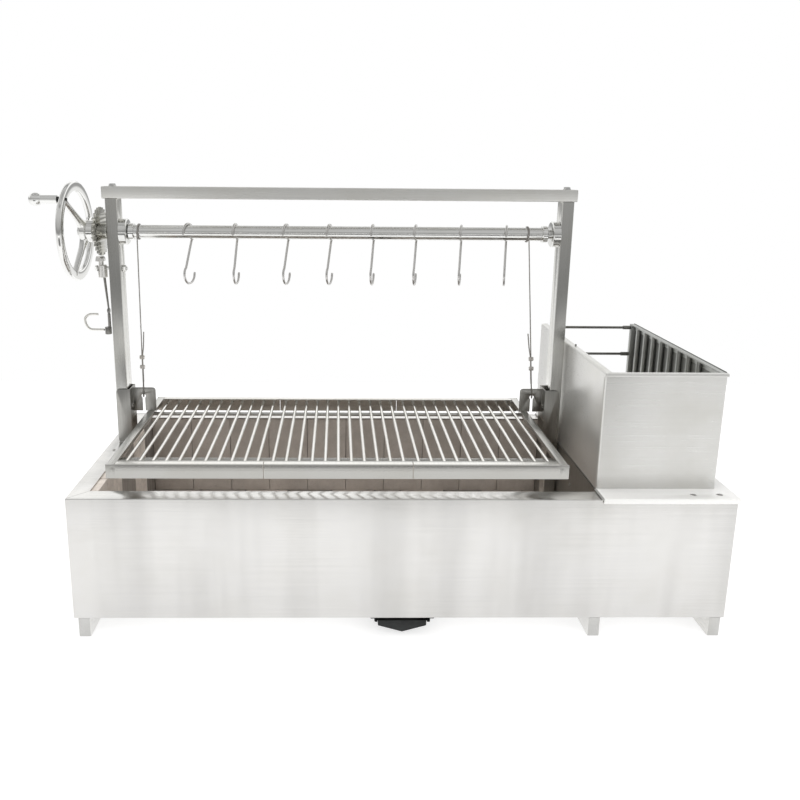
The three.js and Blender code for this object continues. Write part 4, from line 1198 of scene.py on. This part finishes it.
def make_cables():
    """Each cable's long part hangs from the drum and rides on the frame, in a mesh of its own; its loop,
    clips and free tail ride on the carriage.
    """
    mid = middle("drum_pipe")
    y, wire, tone = mid.y, 1.6, 0.5
    for side, sign in SIDES:
        name = f"cable_{side}"
        hole = Vector((middle("carriage_frame").x + sign * EYE_X, y, EYE_Z))
        top = Vector((middle(f"cable_wrap_{side}").x, y - PIPE_RADIUS - 1.9 - 3.5, mid.z - 4))

        def on_line(height, dx=0, dy=0, top=top, hole=hole):
            return top.lerp(hole, (top.z - height) / (top.z - hole.z)) + Vector((dx, dy, 0))

        bottom, parts = 594.3, 40
        shape = Shape()
        rope(shape, [on_line(bottom + (top.z - bottom) * k / parts) for k in range(parts + 1)], wire)
        shade(shape, lambda p, n: True, tone)
        cable = cover(name, shape, WIRE, "frame", "wire_rope")
        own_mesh(cable)

        clear = 1.5 + wire + 1.2
        eye = [(-clear, 483), (1 - clear, 472.5), (0, 468.4), (clear - 1, 472.5), (clear, 483)]
        tail = [(520, 0, 5.6), (553, 0, 4.6), (580, 0, 4.6), (610, -3 * sign, 6), (648, -5 * sign, 7)]
        path = [on_line(594), on_line(530), on_line(500, 0, -1), *((hole.x, y + out, z) for out, z in eye),
                *(on_line(*station) for station in tail)]
        shape = Shape()
        rope(shape, smooth(path, 10), wire)
        shade(shape, lambda p, n: True, tone)
        for height in (553, 580):
            clip(shape, on_line(height))
        cover(f"cable_loop_{side}", shape, WIRE, "carriage", "wire_rope")


HOOK_TURNS = [20, 8, 16, 16, 12, 13, 13, 13]  # degrees that each hook is turned about its own upright


def make_hooks():
    shaft = middle("drum_pipe")
    curl, wire, length = 25, 3, 160
    half = (length - 2 * (curl + wire)) / 2
    centre_z = shaft.z + PIPE_RADIUS + 0.3 + wire - curl - half
    upper = []
    for i in range(23):
        angle = math.radians(184 - 10.8 * i)
        upper.append((curl * math.cos(angle), half + curl * math.sin(angle)))
    points = upper + [(-u, -v) for u, v in reversed(upper)]
    for i, turn in enumerate(HOOK_TURNS, 1):
        spin = Matrix.Rotation(math.radians(-turn), 3, "Z")
        place = Vector((middle(f"s_hook_{i}").x, shaft.y, centre_z))
        path = smooth([spin @ Vector((0, u, v)) + place for u, v in points], 3)
        shape = Shape()
        rod(shape, path, wire, 20)
        cover(f"s_hook_{i}", shape, HOOK_WIRE, f"hook_{i}", "polished_steel")


# ---------- camera, light and floor ----------
def make_camera():
    """The photo's camera, as fitted to the object's straight edges."""
    camera = bpy.data.cameras.new("camera")
    camera.lens, camera.sensor_width = 33.57, 36
    camera.shift_x, camera.shift_y = 0.0638, -0.0864
    camera.clip_end = 50
    holder = add_object("camera", camera)
    yaw, pitch, roll = (math.radians(a) for a in (0.922, 12.373, -0.482))
    forward = Vector((math.sin(yaw) * math.cos(pitch), math.cos(yaw) * math.cos(pitch), -math.sin(pitch)))
    right = Vector((math.cos(yaw), -math.sin(yaw), 0))
    up = right.cross(forward)
    level_right = right * math.cos(roll) - up * math.sin(roll)
    level_up = up * math.cos(roll) + right * math.sin(roll)
    matrix = Matrix((level_right, level_up, -forward)).transposed().to_4x4()
    place = (-0.0829, -1.8594, 1.0767)
    holder.matrix_world = Matrix.Translation(place) @ matrix
    bpy.context.scene.camera = holder


# How bright the room is in reflections, from straight down (0) past the horizon (0.5) to straight up (1):
# in front to the sides, in front in the middle, and behind.
CEILING = [(0.93, 0.3), (0.96, 0.7), (1.0, 0.40)]
FRONT_WALL = [(0.52, 0.32), (0.60, 0.50), (0.80, 0.66), (0.90, 0.66), *CEILING]
FRONT_STOPS = [(0.0, 0.9), (0.40, 0.95), (0.455, 0.95), (0.485, 0.42), *FRONT_WALL]
MIDDLE_STOPS = [(0.0, 0.9), (0.22, 0.8), (0.27, 0.24), (0.39, 0.22), (0.413, 0.7), (0.435, 1.7), (0.447, 1.5),
                (0.462, 0.45), *FRONT_WALL]
BACK_STOPS = [(0.0, 0.9), (0.41, 1.0), (0.46, 0.95), (0.485, 0.55), (0.50, 0.40), (0.55, 0.40), (0.59, 0.95),
              (0.66, 1.3), (0.76, 1.15), (0.84, 0.66), (0.9, 0.3), (0.95, 0.7), (1.0, 0.40)]
FLOOR_SIDE, FLOOR_FRONT, FLOOR_BACK = 4, -1.65, 1.8
FLOOR_GLOW = 0.68  # keeps the pale floor as white as the background


def area_light(name, location, target, size, power):
    """A soft light; it isn't seen in reflections, because the world draws those."""
    light = bpy.data.lights.new(name, "AREA")
    light.shape = "RECTANGLE"
    light.size, light.size_y = size
    light.energy = power
    holder = add_object(name, light)
    holder.location = location
    holder.visible_glossy = False
    holder.rotation_euler = (Vector(target) - Vector(location)).to_track_quat("-Z", "Y").to_euler()


def ramp(tree, value, stops):
    """Grey levels along value, from (position, brightness) pairs."""
    node = add_node(tree, "ValToRGB", Fac=value)
    while len(node.color_ramp.elements) < len(stops):
        node.color_ramp.elements.new(0.5)
    for element, (position, level) in zip(node.color_ramp.elements, stops):
        element.position = position
        element.color = (level, level, level * 0.99, 1)
    return node.outputs["Color"]


def make_world():
    """White to the camera; in reflections, grey bands with the brightness that the stops give."""
    world = bpy.data.worlds.new("studio")
    world.use_nodes = True
    bpy.context.scene.world = world
    tree = world.node_tree
    tree.nodes.clear()
    split = add_node(tree, "SeparateXYZ", Vector=add_node(tree, "TexCoord").outputs["Generated"])
    height = ranged(tree, split.outputs["Z"], 0, 1, -1, 1)
    sideways = arithmetic(tree, "ABSOLUTE", split.outputs["X"], 0)
    off_middle = ranged(tree, sideways, 0, 1, 0.29, 0.34)
    front = mixed(tree, off_middle, ramp(tree, height, MIDDLE_STOPS), ramp(tree, height, FRONT_STOPS))
    back = ramp(tree, height, BACK_STOPS)
    behind = ranged(tree, split.outputs["Y"], 0, 1, -0.15, 0.30)
    room = add_node(tree, "Background", Color=mixed(tree, behind, front, back))
    seen = add_node(tree, "Background", Color=(1, 1, 1, 1))
    mix = add_node(tree, "MixShader", Fac=add_node(tree, "LightPath").outputs["Is Camera Ray"])
    tree.links.new(room.outputs[0], mix.inputs[1])
    tree.links.new(seen.outputs[0], mix.inputs[2])
    add_node(tree, "OutputWorld", Surface=mix.outputs[0])


def make_floor():
    mesh = bpy.data.meshes.new("floor")
    corners = [(-FLOOR_SIDE, FLOOR_FRONT, 0), (FLOOR_SIDE, FLOOR_FRONT, 0),
               (FLOOR_SIDE, FLOOR_BACK, 0), (-FLOOR_SIDE, FLOOR_BACK, 0)]
    mesh.from_pydata(corners, [], [(0, 1, 2, 3)])
    material, _, surface = new_material("floor", (0.5, 0.5, 0.5), 0.9, 0)
    surface.inputs["Emission Color"].default_value = (1, 1, 1, 1)
    surface.inputs["Emission Strength"].default_value = FLOOR_GLOW
    mesh.materials.append(material)
    add_object("floor", mesh)


def make_studio():
    make_world()
    make_floor()
    area_light("key", (-1.2, -2.6, 3.2), (0, 0, 0.4), (2.6, 2.0), 34)
    area_light("fill", (2.4, -2.2, 1.6), (0, 0, 0.4), (1.6, 1.6), 18)
    area_light("top", (0, 0.4, 3.4), (0, 0, 0.3), (3.2, 2.4), 50)
    scene = bpy.context.scene
    scene.view_settings.view_transform = "Standard"
    scene.view_settings.look = "None"


for make in (make_camera, make_studio, make_firebox, make_lining, make_ash_tray, make_deck, make_brasero,
             make_gantry, make_drum, make_ratchet, make_handwheel, make_grip, make_pawl, make_carriage,
             make_cables, make_hooks):
    make()
